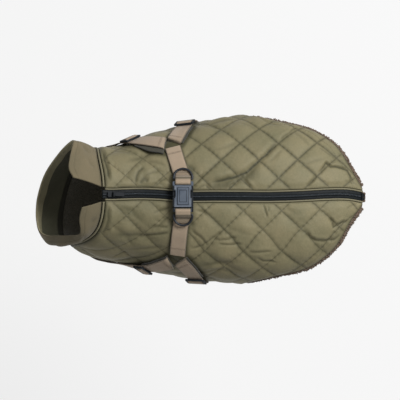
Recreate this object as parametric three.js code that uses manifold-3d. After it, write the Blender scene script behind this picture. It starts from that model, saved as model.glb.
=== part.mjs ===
// Dog winter coat with a built-in harness, filled out as it is when worn, in millimetres.
// +X runs along the back towards the tail, +Y points to the wearer's right side and +Z is up.
// The origin lies on the inner face of the back, under the harness buckle.
import * as THREE from "three";
import { mergeVertices } from "three/addons/utils/BufferGeometryUtils.js";
import Module from "manifold-3d";

const wasm = await Module();
wasm.setup();

// Driving dimensions of the cloth
const WALL = 4; // shell, padding and fleece, pressed together at a stitch line
const PUFF = 3.4; // how far the middle of a quilted diamond stands above its stitch lines
const GAP = 0.3; // between neighbouring pieces
const NECK_SEAM = -128; // where the collar seam crosses the back
const BODY_START = NECK_SEAM + 2.5;
const BELLY_HEM = 95;
const TAIL_HEM = 286;
const SIDE_SEAM_TURN = 104; // degrees round from the spine, just under the widest line
const ROUNDNESS = 2.3; // exponent of the body's section: 2 is an ellipse, more is boxier
const QUILT = { along: 61, around: 58, samples: 6 }; // a diamond's two diagonals
const BELLY_STEP = 16;
const BELLY_COLUMNS = 18;
const EDGE_FADE = 11; // the padding thins out over this width at every seam and hem
const DEEPEST_FOLD = 0.5; // how far a fold may sink into the wall
const TIP_WIDTH = 2.5; // least width of a panel, at the tip of the tail
const LEG_HOLE = { along: -38, turn: 140, radius: 36 };

// Inner face of the body, one row for each ring from the neck seam to the tail. The ring bends to
// the right at its top by sway and at its sides by shift; skew draws its right side back.
const RINGS = [
  { along: -128, rise: 16, lean: 25, halfWidth: 73, depth: 146, sway: 2, shift: 3, skew: 16 },
  { along: -112, rise: 11, lean: 24, halfWidth: 79, depth: 156, sway: 2, shift: -2, skew: 11 },
  { along: -95, rise: 8, lean: 21, halfWidth: 83, depth: 166, sway: 3, shift: -8, skew: 6 },
  { along: -65, rise: 3, lean: 15, halfWidth: 91, depth: 180, sway: 4, shift: -7, skew: 2 },
  { along: -35, rise: 1, lean: 10, halfWidth: 103, depth: 189, sway: 3, shift: -3, skew: 0 },
  { along: 5, rise: 0, lean: 4, halfWidth: 115, depth: 192, sway: 0, shift: 0, skew: 0 },
  { along: 50, rise: 0, lean: 0, halfWidth: 124, depth: 186, sway: 0, shift: 2, skew: 0 },
  { along: 95, rise: -1, lean: 0, halfWidth: 129, depth: 176, sway: 0, shift: 3, skew: 0 },
  { along: 140, rise: -4, lean: 0, halfWidth: 127, depth: 170, sway: 0, shift: 3, skew: 0 },
  { along: 190, rise: -9, lean: 0, halfWidth: 118, depth: 165, sway: 2, shift: 0, skew: 0 },
  { along: 230, rise: -18, lean: 0, halfWidth: 106, depth: 160, sway: 5, shift: -4, skew: 0 },
  { along: 262, rise: -29, lean: 0, halfWidth: 94, depth: 155, sway: 6, shift: -6, skew: 0 },
  { along: 286, rise: -41, lean: 0, halfWidth: 84, depth: 150, sway: 3, shift: -3, skew: 0 },
];

// Rear hem: how far round from the spine the cloth reaches, in degrees
const REAR_HEM = [
  { along: 95, turn: 104 },
  { along: 102, turn: 94 },
  { along: 112, turn: 86 },
  { along: 126, turn: 79 },
  { along: 155, turn: 73 },
  { along: 184, turn: 71 },
  { along: 203, turn: 68 },
  { along: 222, turn: 61 },
  { along: 242, turn: 50 },
  { along: 251, turn: 42 },
  { along: 261, turn: 31 },
  { along: 270, turn: 21 },
  { along: 280, turn: 12 },
  { along: 286, turn: 7 },
];

// The largest folds in the quilted cloth: a soft trough round each middle point
const FOLDS = [
  { along: 82, around: 47, heading: 38, length: 120, width: 9, depth: 3.2 },
  { along: 40, around: 20, heading: 12, length: 70, width: 8, depth: 2.6 },
  { along: -38, around: 40, heading: 115, length: 60, width: 9, depth: 2.8 },
  { along: -60, around: 62, heading: 20, length: 70, width: 10, depth: 2.4 },
  { along: 236, around: 40, heading: 15, length: 44, width: 7, depth: 2.8 },
  { along: 232, around: -38, heading: -62, length: 48, width: 7, depth: 3 },
  { along: 178, around: -74, heading: 4, length: 70, width: 8, depth: 2.4 },
  { along: 60, around: -88, heading: 5, length: 80, width: 8, depth: 2.6 },
  { along: -72, around: -66, heading: -8, length: 74, width: 9, depth: 2.6 },
  { along: 10, around: -138, heading: 25, length: 80, width: 10, depth: 2.6 },
  { along: -8, around: 140, heading: -25, length: 80, width: 10, depth: 2.6 },
];

// Rim of the collar, from the zip's right edge round the throat to its left edge; swell is how far
// the collar bows out between its seam and its rim
const COLLAR_RIM = [
  { turn: 7, x: -176, y: 27, z: 42, swell: 4 },
  { turn: 26, x: -183, y: 42, z: 39, swell: 5 },
  { turn: 48, x: -181, y: 62, z: 30, swell: 5 },
  { turn: 70, x: -176, y: 88, z: 8, swell: 3 },
  { turn: 92, x: -189, y: 82, z: -20, swell: 3 },
  { turn: 113, x: -205, y: 65, z: -48, swell: 4 },
  { turn: 134, x: -221, y: 41, z: -70, swell: 5 },
  { turn: 155, x: -231, y: 12, z: -84, swell: 6 },
  { turn: 176, x: -235, y: -11, z: -88, swell: 8 },
  { turn: 196, x: -234, y: -32, z: -84, swell: 10 },
  { turn: 216, x: -229, y: -49, z: -72, swell: 13 },
  { turn: 237, x: -217, y: -58, z: -52, swell: 14 },
  { turn: 258, x: -199, y: -60, z: -28, swell: 13 },
  { turn: 280, x: -180, y: -62, z: -2, swell: 10 },
  { turn: 303, x: -165, y: -61, z: 22, swell: 7 },
  { turn: 330, x: -166, y: -39, z: 37, swell: 5 },
  { turn: 353, x: -162, y: -21, z: 42, swell: 4 },
];
const COLLAR_WALL = 3;
const COLLAR_COLUMNS = 44;
const COLLAR_ROWS = 5;

// The zip, its piping and the fleece that shows at the rear hem
const PIPING_RADIUS = 1.3;
const NECK_PIPING_RADIUS = 1.8;
const TAPE = { halfWidth: 6.6, thickness: 1.4, lip: 1.1, lipWidth: 1.7, lift: 1.6 };
const ZIP_EDGE = TAPE.halfWidth + 2 * PIPING_RADIUS + 2 * GAP; // where the panels start
const FLEECE = { under: 10, beyond: 4, thickness: 3.2, clear: 0.6 };

// The harness
const WEBBING = { width: 25, thickness: 1.8 };
const LIFT = WALL + PUFF + 0.4; // underside of webbing that lies on the quilting
const LAYER = WEBBING.thickness + GAP;
const BELLY_LIFT = WALL + 0.8;

// One row for each bend of the webbing: place along the back, degrees round, height
const STRAPS = {
  centre_strap_right: [
    { along: -2, turn: 12.5, lift: LIFT },
    { along: -6, turn: 20, lift: LIFT },
    { along: -10, turn: 28, lift: LIFT },
    { along: -14, turn: 39, lift: LIFT + 1 },
  ],
  centre_strap_left: [
    { along: -2, turn: -14.5, lift: LIFT },
    { along: -4, turn: -25, lift: LIFT },
    { along: -5, turn: -36, lift: LIFT },
    { along: -5, turn: -48, lift: LIFT + 1 },
  ],
  chest_strap: [
    { along: -26, turn: 44.6, lift: LIFT + LAYER + 0.6 },
    { along: -41, turn: 49.5, lift: LIFT + LAYER + 1 },
    { along: -55, turn: 56.5, lift: LIFT + LAYER + 1 },
    { along: -69, turn: 67.5, lift: LIFT + LAYER },
    { along: -79, turn: 87, lift: LIFT + 0.4 },
    { along: -86, turn: 101, lift: LIFT + 0.4 },
    { along: -92, turn: 117, lift: BELLY_LIFT + 1 },
    { along: -100, turn: 145, lift: BELLY_LIFT },
    { along: -103, turn: 180, lift: BELLY_LIFT },
    { along: -99, turn: 215, lift: BELLY_LIFT },
    { along: -87, turn: 244, lift: BELLY_LIFT + 1 },
    { along: -68, turn: 264, lift: LIFT - 1 },
    { along: -45, turn: 277, lift: LIFT + LAYER },
    { along: -27, turn: 291, lift: LIFT + LAYER + 1 },
    { along: -14, turn: 301, lift: LIFT + LAYER + 1 },
  ],
  girth_strap: [
    { along: -9.6, turn: 47, lift: LIFT + LAYER + 0.6 },
    { along: -3, turn: 55, lift: LIFT + LAYER + 0.3 },
    { along: 9, turn: 70.5, lift: LIFT + LAYER + 0.2 },
    { along: 19, turn: 95, lift: LIFT },
    { along: 26, turn: 118, lift: BELLY_LIFT + 1 },
    { along: 29, turn: 145, lift: BELLY_LIFT },
    { along: 31, turn: 180, lift: BELLY_LIFT },
    { along: 32, turn: 215, lift: BELLY_LIFT },
    { along: 33, turn: 242, lift: BELLY_LIFT + 1 },
    { along: 31, turn: 265, lift: LIFT },
    { along: 25, turn: 281, lift: LIFT + LAYER },
    { along: 13.6, turn: 296, lift: LIFT + LAYER },
    { along: 1.5, turn: 305, lift: LIFT + LAYER + 0.6 },
  ],
  // The returning layer that comes out of each adjuster, under the layer above
  return_front_right: [
    { along: -28, turn: 40, lift: LIFT },
    { along: -46, turn: 46, lift: LIFT },
    { along: -60, turn: 58, lift: LIFT },
  ],
  return_rear_right: [
    { along: -6, turn: 46, lift: LIFT },
    { along: 3, turn: 55, lift: LIFT },
    { along: 12, turn: 67, lift: LIFT },
  ],
  return_front_left: [
    { along: -19, turn: -56.5, lift: LIFT + 0.4 },
    { along: -32, turn: -66, lift: LIFT + 0.4 },
    { along: -43, turn: -77, lift: LIFT },
  ],
  return_rear_left: [
    { along: 6, turn: -54.5, lift: LIFT },
    { along: 18, turn: -63, lift: LIFT },
    { along: 28, turn: -75, lift: LIFT },
  ],
};
// Straps that meet another at a slant are cut so: how far each corner of an end reaches past the
// square cut, first the corner on the strap's right, then the one on its left
const SLANTED_ENDS = {
  chest_strap: { start: [-0.6, 6.4], end: [-4.5, 7.6] },
  girth_strap: { start: [7, 0], end: [7, 0] },
  return_front_right: { start: [0, 4.4], end: [0, 0] },
  return_front_left: { start: [7, 0], end: [0, 0] },
  return_rear_left: { start: [0, 5.6], end: [0, 0] },
};
// Each adjuster lies over a strap; row is the place in that strap's table
const ADJUSTERS = {
  front_right: { strap: "chest_strap", row: 3 },
  rear_right: { strap: "girth_strap", row: 2 },
  front_left: { strap: "chest_strap", row: 12 },
  rear_left: { strap: "girth_strap", row: 10 },
};
const ADJUSTER = { width: 32, length: 19, thickness: 3, bar: 3.4, rail: 3, clear: 0.9 };

const BUCKLE = { halfWidth: 16.5, thickness: 10, base: 9.6, back: -18.5, front: 15.5, barThickness: 3.6 };
const RING = { height: 12.6, wire: 1.75, bend: 14.9, straight: 2.4, corner: 2.2, droop: 10 };
// Distances from the zip: the bar of each buckle half, the ring's hinge and the end of the folded strap
const HARNESS_SIDES = {
  right: { bar: 21.2, hinge: 26.8, end: 39.5 },
  left: { bar: 24.4, hinge: 30, end: 43 },
};
const SLIDER = { along: -116, length: 13, width: 9, base: 4.8, height: 2.2, pin: 0.8 };

// Colours as they look in daylight
const MATERIALS = {
  shell: { color: 0x7d7459, roughness: 0.62, metalness: 0 },
  softshell: { color: 0x6d6752, roughness: 0.9, metalness: 0 },
  piping: { color: 0x8b876e, roughness: 0.7, metalness: 0 },
  fleece: { color: 0x64543f, roughness: 1, metalness: 0 },
  zip: { color: 0x22272c, roughness: 0.5, metalness: 0 },
  webbing: { color: 0x96877a, roughness: 0.85, metalness: 0 },
  plastic: { color: 0x434b56, roughness: 0.45, metalness: 0 },
  ring: { color: 0x3a4048, roughness: 0.35, metalness: 0.6 },
};

const radians = THREE.MathUtils.degToRad;
const smooth = (t) => THREE.MathUtils.smoothstep(t, 0, 1);

// A smooth curve through the values of one column of a table, against its key column.
function through(rows, key, column) {
  const at = rows.map((row) => row[key]);
  const value = rows.map((row) => row[column]);
  const last = rows.length - 1;
  const slope = value.map((_, i) => {
    const low = Math.max(i - 1, 0);
    const high = Math.min(i + 1, last);
    return (value[high] - value[low]) / (at[high] - at[low]);
  });
  return (x) => {
    let i = 0;
    while (i < last - 1 && x > at[i + 1]) i += 1;
    const span = at[i + 1] - at[i];
    const t = (x - at[i]) / span;
    if (t < 0) return value[0] + slope[0] * (x - at[0]);
    if (t > 1) return value[last] + slope[last] * (x - at[last]);
    return (
      value[i] * (2 * t ** 3 - 3 * t ** 2 + 1) +
      slope[i] * span * (t ** 3 - 2 * t ** 2 + t) +
      value[i + 1] * (3 * t ** 2 - 2 * t ** 3) +
      slope[i + 1] * span * (t ** 3 - t ** 2)
    );
  };
}

const ringColumns = ["rise", "lean", "halfWidth", "depth", "sway", "shift", "skew"];
const ring = Object.fromEntries(ringColumns.map((column) => [column, through(RINGS, "along", column)]));
const rearHemTurn = through(REAR_HEM, "along", "turn");

// A point of the body's inner face: its place along the back, and degrees round from the spine.
function onRing(along, turn) {
  const angle = radians(turn);
  const lean = radians(ring.lean(along));
  const half = ring.depth(along) / 2;
  const power = 2 / ROUNDNESS;
  const sine = Math.sin(angle);
  const cosine = Math.cos(angle);
  const share = Math.sign(sine) * Math.abs(sine) ** power;
  const down = half - half * Math.sign(cosine) * Math.abs(cosine) ** power;
  const low = smooth(down / half);
  return new THREE.Vector3(
    along - down * Math.sin(lean) + ring.skew(along) * share * low,
    ring.halfWidth(along) * share + ring.sway(along) + ring.shift(along) * low,
    ring.rise(along) - down * Math.cos(lean),
  );
}

// Length of cloth from the spine round each ring, and the turn at a given length.
const TURN_STEP = 2;
const lengthTables = new Map();
function lengthTable(along, side) {
  const key = along.toFixed(3) + (side < 0 ? "left" : "right");
  if (!lengthTables.has(key)) {
    const lengths = [0];
    let before = onRing(along, 0);
    for (let turn = TURN_STEP; turn <= 180; turn += TURN_STEP) {
      const here = onRing(along, side < 0 ? -turn : turn);
      lengths.push(lengths.at(-1) + here.distanceTo(before));
      before = here;
    }
    lengthTables.set(key, lengths);
  }
  return lengthTables.get(key);
}
function lengthAt(along, turn) {
  const lengths = lengthTable(along, turn);
  const place = Math.min(Math.abs(turn) / TURN_STEP, lengths.length - 1.001);
  const i = Math.floor(place);
  return Math.sign(turn) * (lengths[i] + (lengths[i + 1] - lengths[i]) * (place - i));
}
function turnAt(along, around) {
  const lengths = lengthTable(along, around);
  const length = Math.abs(around);
  let i = 0;
  while (i < lengths.length - 2 && length > lengths[i + 1]) i += 1;
  return Math.sign(around) * TURN_STEP * (i + (length - lengths[i]) / (lengths[i + 1] - lengths[i]));
}

// Outward direction of the body at a point given by its turn.
function outward(along, turn) {
  const step = 0.5;
  const forwards = onRing(along + step, turn).sub(onRing(along - step, turn));
  const round = onRing(along, turn + step).sub(onRing(along, turn - step));
  return forwards.cross(round).normalize();
}
function lifted(along, turn, lift) {
  return onRing(along, turn).addScaledVector(outward(along, turn), lift);
}

// How far the quilting and the folds raise or lower the outer face.
function quiltHeight(along, around) {
  const fromLine = (x) => Math.abs(x - Math.round(x));
  const first = fromLine(along / QUILT.along + around / QUILT.around);
  const second = fromLine(along / QUILT.along - around / QUILT.around);
  return PUFF * Math.sqrt(Math.sin(Math.PI * first) * Math.sin(Math.PI * second));
}
function foldDepth(along, around) {
  return FOLDS.reduce((deepest, fold) => {
    const heading = radians(fold.heading);
    const x = along - fold.along;
    const y = around - fold.around;
    const lengthways = (x * Math.cos(heading) + y * Math.sin(heading)) / (fold.length / 2);
    const across = (-x * Math.sin(heading) + y * Math.cos(heading)) / fold.width;
    return Math.max(deepest, fold.depth * Math.exp(-across * across) * smooth(1 - Math.abs(lengthways)));
  }, 0);
}

// A closed mesh from corner points and triangles, with its faces turned outwards.
function solidMesh(points, triangles) {
  let volume = 0;
  for (const [a, b, c] of triangles) {
    volume += points[a].dot(new THREE.Vector3().crossVectors(points[b], points[c]));
  }
  const faces = volume > 0 ? triangles : triangles.map(([a, b, c]) => [a, c, b]);
  const geometry = new THREE.BufferGeometry();
  const places = points.flatMap((p) => [p.x, p.y, p.z]);
  geometry.setAttribute("position", new THREE.Float32BufferAttribute(places, 3));
  geometry.setIndex(faces.flat());
  geometry.computeVertexNormals();
  return geometry;
}

// A cloth wall between an outer and an inner face. Each column is a list of points, { outer, inner, key },
// sorted by key; points of neighbouring columns with the same key make a quad.
function wall(columns, slantsUp = () => true) {
  const points = [];
  const triangles = [];
  for (const column of columns) {
    for (const point of column) {
      point.index = points.length;
      points.push(point.outer, point.inner);
    }
  }
  const face = (a, b, c) => {
    triangles.push([a.index, b.index, c.index], [a.index + 1, c.index + 1, b.index + 1]);
  };
  const edge = (a, b) => {
    triangles.push([a.index, b.index, b.index + 1], [a.index, b.index + 1, a.index + 1]);
  };
  for (let k = 0; k + 1 < columns.length; k += 1) {
    const [left, right] = [columns[k], columns[k + 1]];
    let i = 0;
    let j = 0;
    while (i < left.length - 1 || j < right.length - 1) {
      const [a, b, nextA, nextB] = [left[i], right[j], left[i + 1], right[j + 1]];
      if (nextA && nextB && Math.abs(nextA.key - nextB.key) < 1e-6) {
        if (slantsUp(a, b, nextA, nextB)) {
          face(a, b, nextB);
          face(a, nextB, nextA);
        } else {
          face(a, b, nextA);
          face(b, nextB, nextA);
        }
        i += 1;
        j += 1;
      } else if (!nextB || (nextA && nextA.key < nextB.key)) {
        face(a, b, nextA);
        i += 1;
      } else {
        face(a, b, nextB);
        j += 1;
      }
    }
    edge(right[0], left[0]);
    edge(left.at(-1), right.at(-1));
  }
  const closeEnd = (column, first) => {
    for (let i = 0; i + 1 < column.length; i += 1) {
      if (first) edge(column[i], column[i + 1]);
      else edge(column[i + 1], column[i]);
    }
  };
  closeEnd(columns[0], true);
  closeEnd(columns.at(-1), false);
  return solidMesh(points, triangles);
}

// A tube through closed sections of equal size; a ring when closed.
function loft(sections, closed = false) {
  const points = sections.flat();
  const count = sections[0].length;
  const triangles = [];
  const steps = closed ? sections.length : sections.length - 1;
  for (let k = 0; k < steps; k += 1) {
    const here = k * count;
    const there = ((k + 1) % sections.length) * count;
    for (let i = 0; i < count; i += 1) {
      const next = (i + 1) % count;
      triangles.push([here + i, here + next, there + next], [here + i, there + next, there + i]);
    }
  }
  if (!closed) {
    const end = (sections.length - 1) * count;
    for (let i = 1; i + 1 < count; i += 1) {
      triangles.push([0, i + 1, i], [end, end + i, end + i + 1]);
    }
  }
  return solidMesh(points, triangles);
}

// Places a column of the body's cloth: lattice points between two edges, and the edges themselves.
function clothColumn(along, low, high, step, heightAt) {
  const keys = [low];
  const margin = 0.35 * step;
  for (let j = Math.ceil((low + margin) / step); j * step < high - margin; j += 1) keys.push(j * step);
  keys.push(high);
  return keys.map((around) => {
    const turn = turnAt(along, around);
    const normal = outward(along, turn);
    const inner = onRing(along, turn);
    const outer = inner.clone().addScaledVector(normal, WALL + heightAt(along, around));
    return { key: around, along, inner, outer };
  });
}
function clothStations(from, to, step) {
  const stations = [from];
  for (let i = Math.ceil(from / step + 0.4); i * step < to - 0.4 * step; i += 1) stations.push(i * step);
  return [...stations, to];
}

// Quilted shell panel on one side of the zip; side is 1 for the right and -1 for the left.
function backPanel(side) {
  const start = BODY_START;
  const step = { along: QUILT.along / QUILT.samples, around: QUILT.around / QUILT.samples };
  const outerTurn = (along) => (along < BELLY_HEM ? SIDE_SEAM_TURN : rearHemTurn(along));
  const outerEdge = (along) => Math.abs(lengthAt(along, side * outerTurn(along)));
  const heightAt = (along, around) => {
    const distance = Math.abs(around);
    const sideways = Math.min(distance - ZIP_EDGE, outerEdge(along) - distance);
    const fade = smooth(Math.min(sideways, along - start, TAIL_HEM - along) / EDGE_FADE);
    const height = quiltHeight(along, around) - foldDepth(along, around);
    return fade * Math.max(height, -DEEPEST_FOLD);
  };
  const columns = clothStations(start, TAIL_HEM, step.along).map((along) => {
    const edge = Math.max(outerEdge(along), ZIP_EDGE + TIP_WIDTH);
    const [low, high] = side > 0 ? [ZIP_EDGE, edge] : [-edge, -ZIP_EDGE];
    return clothColumn(along, low, high, step.around, heightAt);
  });
  // A quad's diagonal follows the stitch line nearest to it.
  const rising = (a, b, nextA, nextB) => {
    const lineAt = (point) => point.along / QUILT.along - point.key / QUILT.around;
    const middle = (lineAt(a) + lineAt(nextB)) / 2;
    const other = (a.along + b.along) / 2 / QUILT.along + (a.key + nextA.key) / 2 / QUILT.around;
    return Math.abs(middle - Math.round(middle)) < Math.abs(other - Math.round(other));
  };
  return wall(columns, rising);
}

// Chest and belly panel, plain, with a hole for each front leg.
function bellyPanel() {
  const stations = clothStations(BODY_START, BELLY_HEM, BELLY_STEP);
  const seamGap = 0.35; // degrees past the side seam
  const [first, last] = [SIDE_SEAM_TURN + seamGap, 360 - SIDE_SEAM_TURN - seamGap];
  const columns = stations.map((along) =>
    Array.from({ length: BELLY_COLUMNS + 1 }, (_, i) => {
      const turn = first + ((last - first) * i) / BELLY_COLUMNS;
      return { key: i, along, inner: onRing(along, turn), outer: lifted(along, turn, WALL) };
    }),
  );
  const panel = asManifold(wall(columns));
  const holes = [1, -1].map((side) => {
    const turn = side * LEG_HOLE.turn;
    const cutter = new THREE.CylinderGeometry(LEG_HOLE.radius, LEG_HOLE.radius, 60, 28);
    cutter.applyMatrix4(placement(LEG_HOLE.along, turn, 0, 0));
    return asManifold(cutter);
  });
  return asGeometry(holes.reduce((rest, hole) => rest.subtract(hole), panel));
}

// Where a hard piece sits on the body: its Y axis points outwards, and its Z axis is turned by
// heading from the direction of the tail.
function placement(along, turn, lift, heading) {
  const up = outward(along, turn);
  const tailwards = onRing(along + 1, turn).sub(onRing(along - 1, turn));
  const forward = tailwards.addScaledVector(up, -tailwards.dot(up)).normalize();
  forward.applyAxisAngle(up, heading);
  const side = new THREE.Vector3().crossVectors(up, forward);
  return new THREE.Matrix4().makeBasis(side, up, forward).setPosition(lifted(along, turn, lift));
}

function asManifold(geometry) {
  const bare = geometry.clone();
  bare.deleteAttribute("normal");
  bare.deleteAttribute("uv");
  const merged = mergeVertices(bare, 1e-4);
  const mesh = new wasm.Mesh({
    numProp: 3,
    vertProperties: merged.attributes.position.array,
    triVerts: new Uint32Array(merged.index.array),
  });
  return new wasm.Manifold(mesh);
}
function asGeometry(manifold) {
  const mesh = manifold.getMesh();
  const geometry = new THREE.BufferGeometry();
  geometry.setAttribute("position", new THREE.Float32BufferAttribute(mesh.vertProperties, 3));
  geometry.setIndex(Array.from(mesh.triVerts));
  geometry.computeVertexNormals();
  return geometry;
}
const joined = (...geometries) => {
  const solids = geometries.map(asManifold);
  return asGeometry(solids.reduce((sum, next) => sum.add(next)));
};

// Stand collar: a band from the neck seam up to the rim, open at the zip.
function collar() {
  const first = COLLAR_RIM[0].turn;
  const last = COLLAR_RIM.at(-1).turn;
  const rim = ["x", "y", "z"].map((axis) => through(COLLAR_RIM, "turn", axis));
  const swell = through(COLLAR_RIM, "turn", "swell");
  const seamLine = NECK_SEAM - NECK_PIPING_RADIUS - 5 * GAP;
  const middle = (turn, share) => {
    const seam = lifted(seamLine, turn, WALL / 2 + 0.6);
    const edge = new THREE.Vector3(...rim.map((value) => value(turn)));
    const bow = swell(turn) * Math.sin(Math.PI * share);
    return seam.lerp(edge, share).addScaledVector(outward(seamLine, turn), bow);
  };
  const columns = Array.from({ length: COLLAR_COLUMNS + 1 }, (_, k) => {
    const turn = first + ((last - first) * k) / COLLAR_COLUMNS;
    return Array.from({ length: COLLAR_ROWS + 1 }, (_, i) => {
      const share = i / COLLAR_ROWS;
      const here = middle(turn, share);
      const round = middle(turn + 1, share).sub(middle(turn - 1, share));
      const up = middle(turn, Math.min(share + 0.02, 1)).sub(middle(turn, Math.max(share - 0.02, 0)));
      const normal = up.cross(round).normalize();
      return {
        key: share,
        outer: here.clone().addScaledVector(normal, COLLAR_WALL / 2),
        inner: here.clone().addScaledVector(normal, -COLLAR_WALL / 2),
      };
    });
  });
  return wall(columns);
}

// A round cord along places on the body.
function piping(places, radius, sides = 6) {
  const centres = places.map(({ along, turn, lift }) => lifted(along, turn, lift));
  const sections = places.map(({ along, turn }, k) => {
    const up = outward(along, turn);
    const [before, after] = [centres[Math.max(k - 1, 0)], centres[Math.min(k + 1, centres.length - 1)]];
    const ahead = after.clone().sub(before).normalize();
    const side = new THREE.Vector3().crossVectors(ahead, up).normalize().multiplyScalar(radius);
    const top = new THREE.Vector3().crossVectors(side, ahead);
    return Array.from({ length: sides }, (_, i) => {
      const angle = (2 * Math.PI * i) / sides;
      return centres[k].clone().addScaledVector(side, Math.cos(angle)).addScaledVector(top, Math.sin(angle));
    });
  });
  return loft(sections);
}
function neckPiping() {
  const [first, last] = [COLLAR_RIM[0].turn, COLLAR_RIM.at(-1).turn];
  const count = 40;
  const places = Array.from({ length: count + 1 }, (_, k) => ({
    along: NECK_SEAM,
    turn: first + ((last - first) * k) / count,
    lift: WALL - 0.4,
  }));
  return piping(places, NECK_PIPING_RADIUS);
}
const SPINE_STEP = 14;
const spineStations = (from, to) => {
  const count = Math.round((to - from) / SPINE_STEP);
  return Array.from({ length: count + 1 }, (_, k) => from + ((to - from) * k) / count);
};
function zipPiping(side) {
  const around = TAPE.halfWidth + GAP + PIPING_RADIUS;
  const places = spineStations(BODY_START, TAIL_HEM).map((along) => ({
    along,
    turn: turnAt(along, side * around),
    lift: WALL - 0.7,
  }));
  return piping(places, PIPING_RADIUS);
}

// A strip whose section, { around, lift } corner by corner, runs along the spine.
function spineStrip(from, to, corners) {
  const sections = spineStations(from, to).map((along) =>
    corners.map(({ around, lift }) => lifted(along, turnAt(along, around), lift)),
  );
  return loft(sections);
}
function zipTape() {
  const { halfWidth, thickness, lip, lipWidth, lift } = TAPE;
  const half = [
    { around: halfWidth, lift },
    { around: halfWidth, lift: lift + thickness },
    { around: lipWidth + 0.5, lift: lift + thickness },
    { around: lipWidth, lift: lift + thickness + lip },
    { around: 0.3, lift: lift + thickness + lip },
  ];
  const other = half.map((corner) => ({ around: -corner.around, lift: corner.lift })).reverse();
  const groove = { around: 0, lift: lift + thickness + lip / 2 };
  return spineStrip(NECK_SEAM - 2, TAIL_HEM - 2, [...half, groove, ...other]);
}

// Fleece lining that stands out past the rear hem, in one strip from side to side.
function rearFleece() {
  const { under, beyond, thickness, clear } = FLEECE;
  const section = (point) => [
    point(-under, -clear),
    point(beyond - 1, -clear),
    point(beyond, -clear - thickness / 2),
    point(beyond - 1, -clear - thickness),
    point(-under, -clear - thickness),
  ];
  const alongHem = (side) => {
    const hemAt = (along) => Math.abs(lengthAt(along, side * rearHemTurn(along)));
    const reachAt = (along) => Math.max(hemAt(along), ZIP_EDGE + TIP_WIDTH);
    return spineStations(BELLY_HEM + 6, TAIL_HEM - 2).map((along) => {
      const slope = (reachAt(along + 2) - reachAt(along - 2)) / 4;
      const steep = Math.hypot(slope, 1);
      return section((away, lift) => {
        const place = along - (away * slope) / steep;
        return lifted(place, turnAt(place, side * (reachAt(along) + away / steep)), lift);
      });
    });
  };
  const underZip = [6, 0, -6].map((around) =>
    section((away, lift) => lifted(TAIL_HEM - 1 + away, turnAt(TAIL_HEM - 1 + away, around), lift - 0.6)),
  );
  return loft([...alongHem(1), ...underZip, ...alongHem(-1).reverse()]);
}

// The course of a strap through the rows of its table.
function course(rows) {
  const stops = rows.map((row, i) => ({ ...row, stop: i }));
  const along = through(stops, "stop", "along");
  const turn = through(stops, "stop", "turn");
  const lift = through(stops, "stop", "lift");
  const frameAt = (t) => {
    const centre = lifted(along(t), turn(t), lift(t));
    const before = lifted(along(t - 0.02), turn(t - 0.02), lift(t - 0.02));
    const after = lifted(along(t + 0.02), turn(t + 0.02), lift(t + 0.02));
    const ahead = after.sub(before).normalize();
    const side = new THREE.Vector3().crossVectors(outward(along(t), turn(t)), ahead).normalize();
    return { centre, ahead, side, top: new THREE.Vector3().crossVectors(ahead, side) };
  };
  return frameAt;
}

// Flat webbing through the rows of a table, laid on the body; slant says how its ends are cut.
function webbing(rows, slant = { start: [0, 0], end: [0, 0] }) {
  const frameAt = course(rows);
  let length = 0;
  const pieces = (rows.length - 1) * 8;
  for (let k = 0; k < pieces; k += 1) {
    const [start, end] = [k, k + 1].map((step) => (step * (rows.length - 1)) / pieces);
    length += frameAt(start).centre.distanceTo(frameAt(end).centre);
  }
  const count = Math.max(3, Math.round(length / 11));
  const columns = Array.from({ length: count + 1 }, (_, k) => {
    const { centre, ahead, side, top } = frameAt(((rows.length - 1) * k) / count);
    return [-1, 1].map((half, corner) => {
      const inner = centre.clone().addScaledVector(side, (half * WEBBING.width) / 2);
      if (k === 0) inner.addScaledVector(ahead, -slant.start[corner]);
      if (k === count) inner.addScaledVector(ahead, slant.end[corner]);
      return { key: half, inner, outer: inner.clone().addScaledVector(top, WEBBING.thickness) };
    });
  });
  return wall(columns);
}

// A flat shape, drawn in X and Y, as a plate that is centred on Z = 0.
function plate(shape, thickness, curveSegments = 4) {
  const extrusion = { depth: thickness, bevelEnabled: false, curveSegments };
  const geometry = new THREE.ExtrudeGeometry(shape, extrusion);
  return geometry.translate(0, 0, -thickness / 2);
}
function outline(corners) {
  return new THREE.Shape(corners.map(([x, y]) => new THREE.Vector2(x, y)));
}
function roundedRectangle(width, height, radius, path = new THREE.Shape()) {
  const [x, y] = [width / 2, height / 2];
  path.moveTo(-x + radius, -y);
  path.lineTo(x - radius, -y);
  path.quadraticCurveTo(x, -y, x, -y + radius);
  path.lineTo(x, y - radius);
  path.quadraticCurveTo(x, y, x - radius, y);
  path.lineTo(-x + radius, y);
  path.quadraticCurveTo(-x, y, -x, y - radius);
  path.lineTo(-x, -y + radius);
  path.quadraticCurveTo(-x, -y, -x + radius, -y);
  return path;
}
function slot(width, height, x, y) {
  const corners = [[-0.5, -0.5], [-0.5, 0.5], [0.5, 0.5], [0.5, -0.5]];
  return new THREE.Path(corners.map(([i, j]) => new THREE.Vector2(x + i * width, y + j * height)));
}

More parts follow.
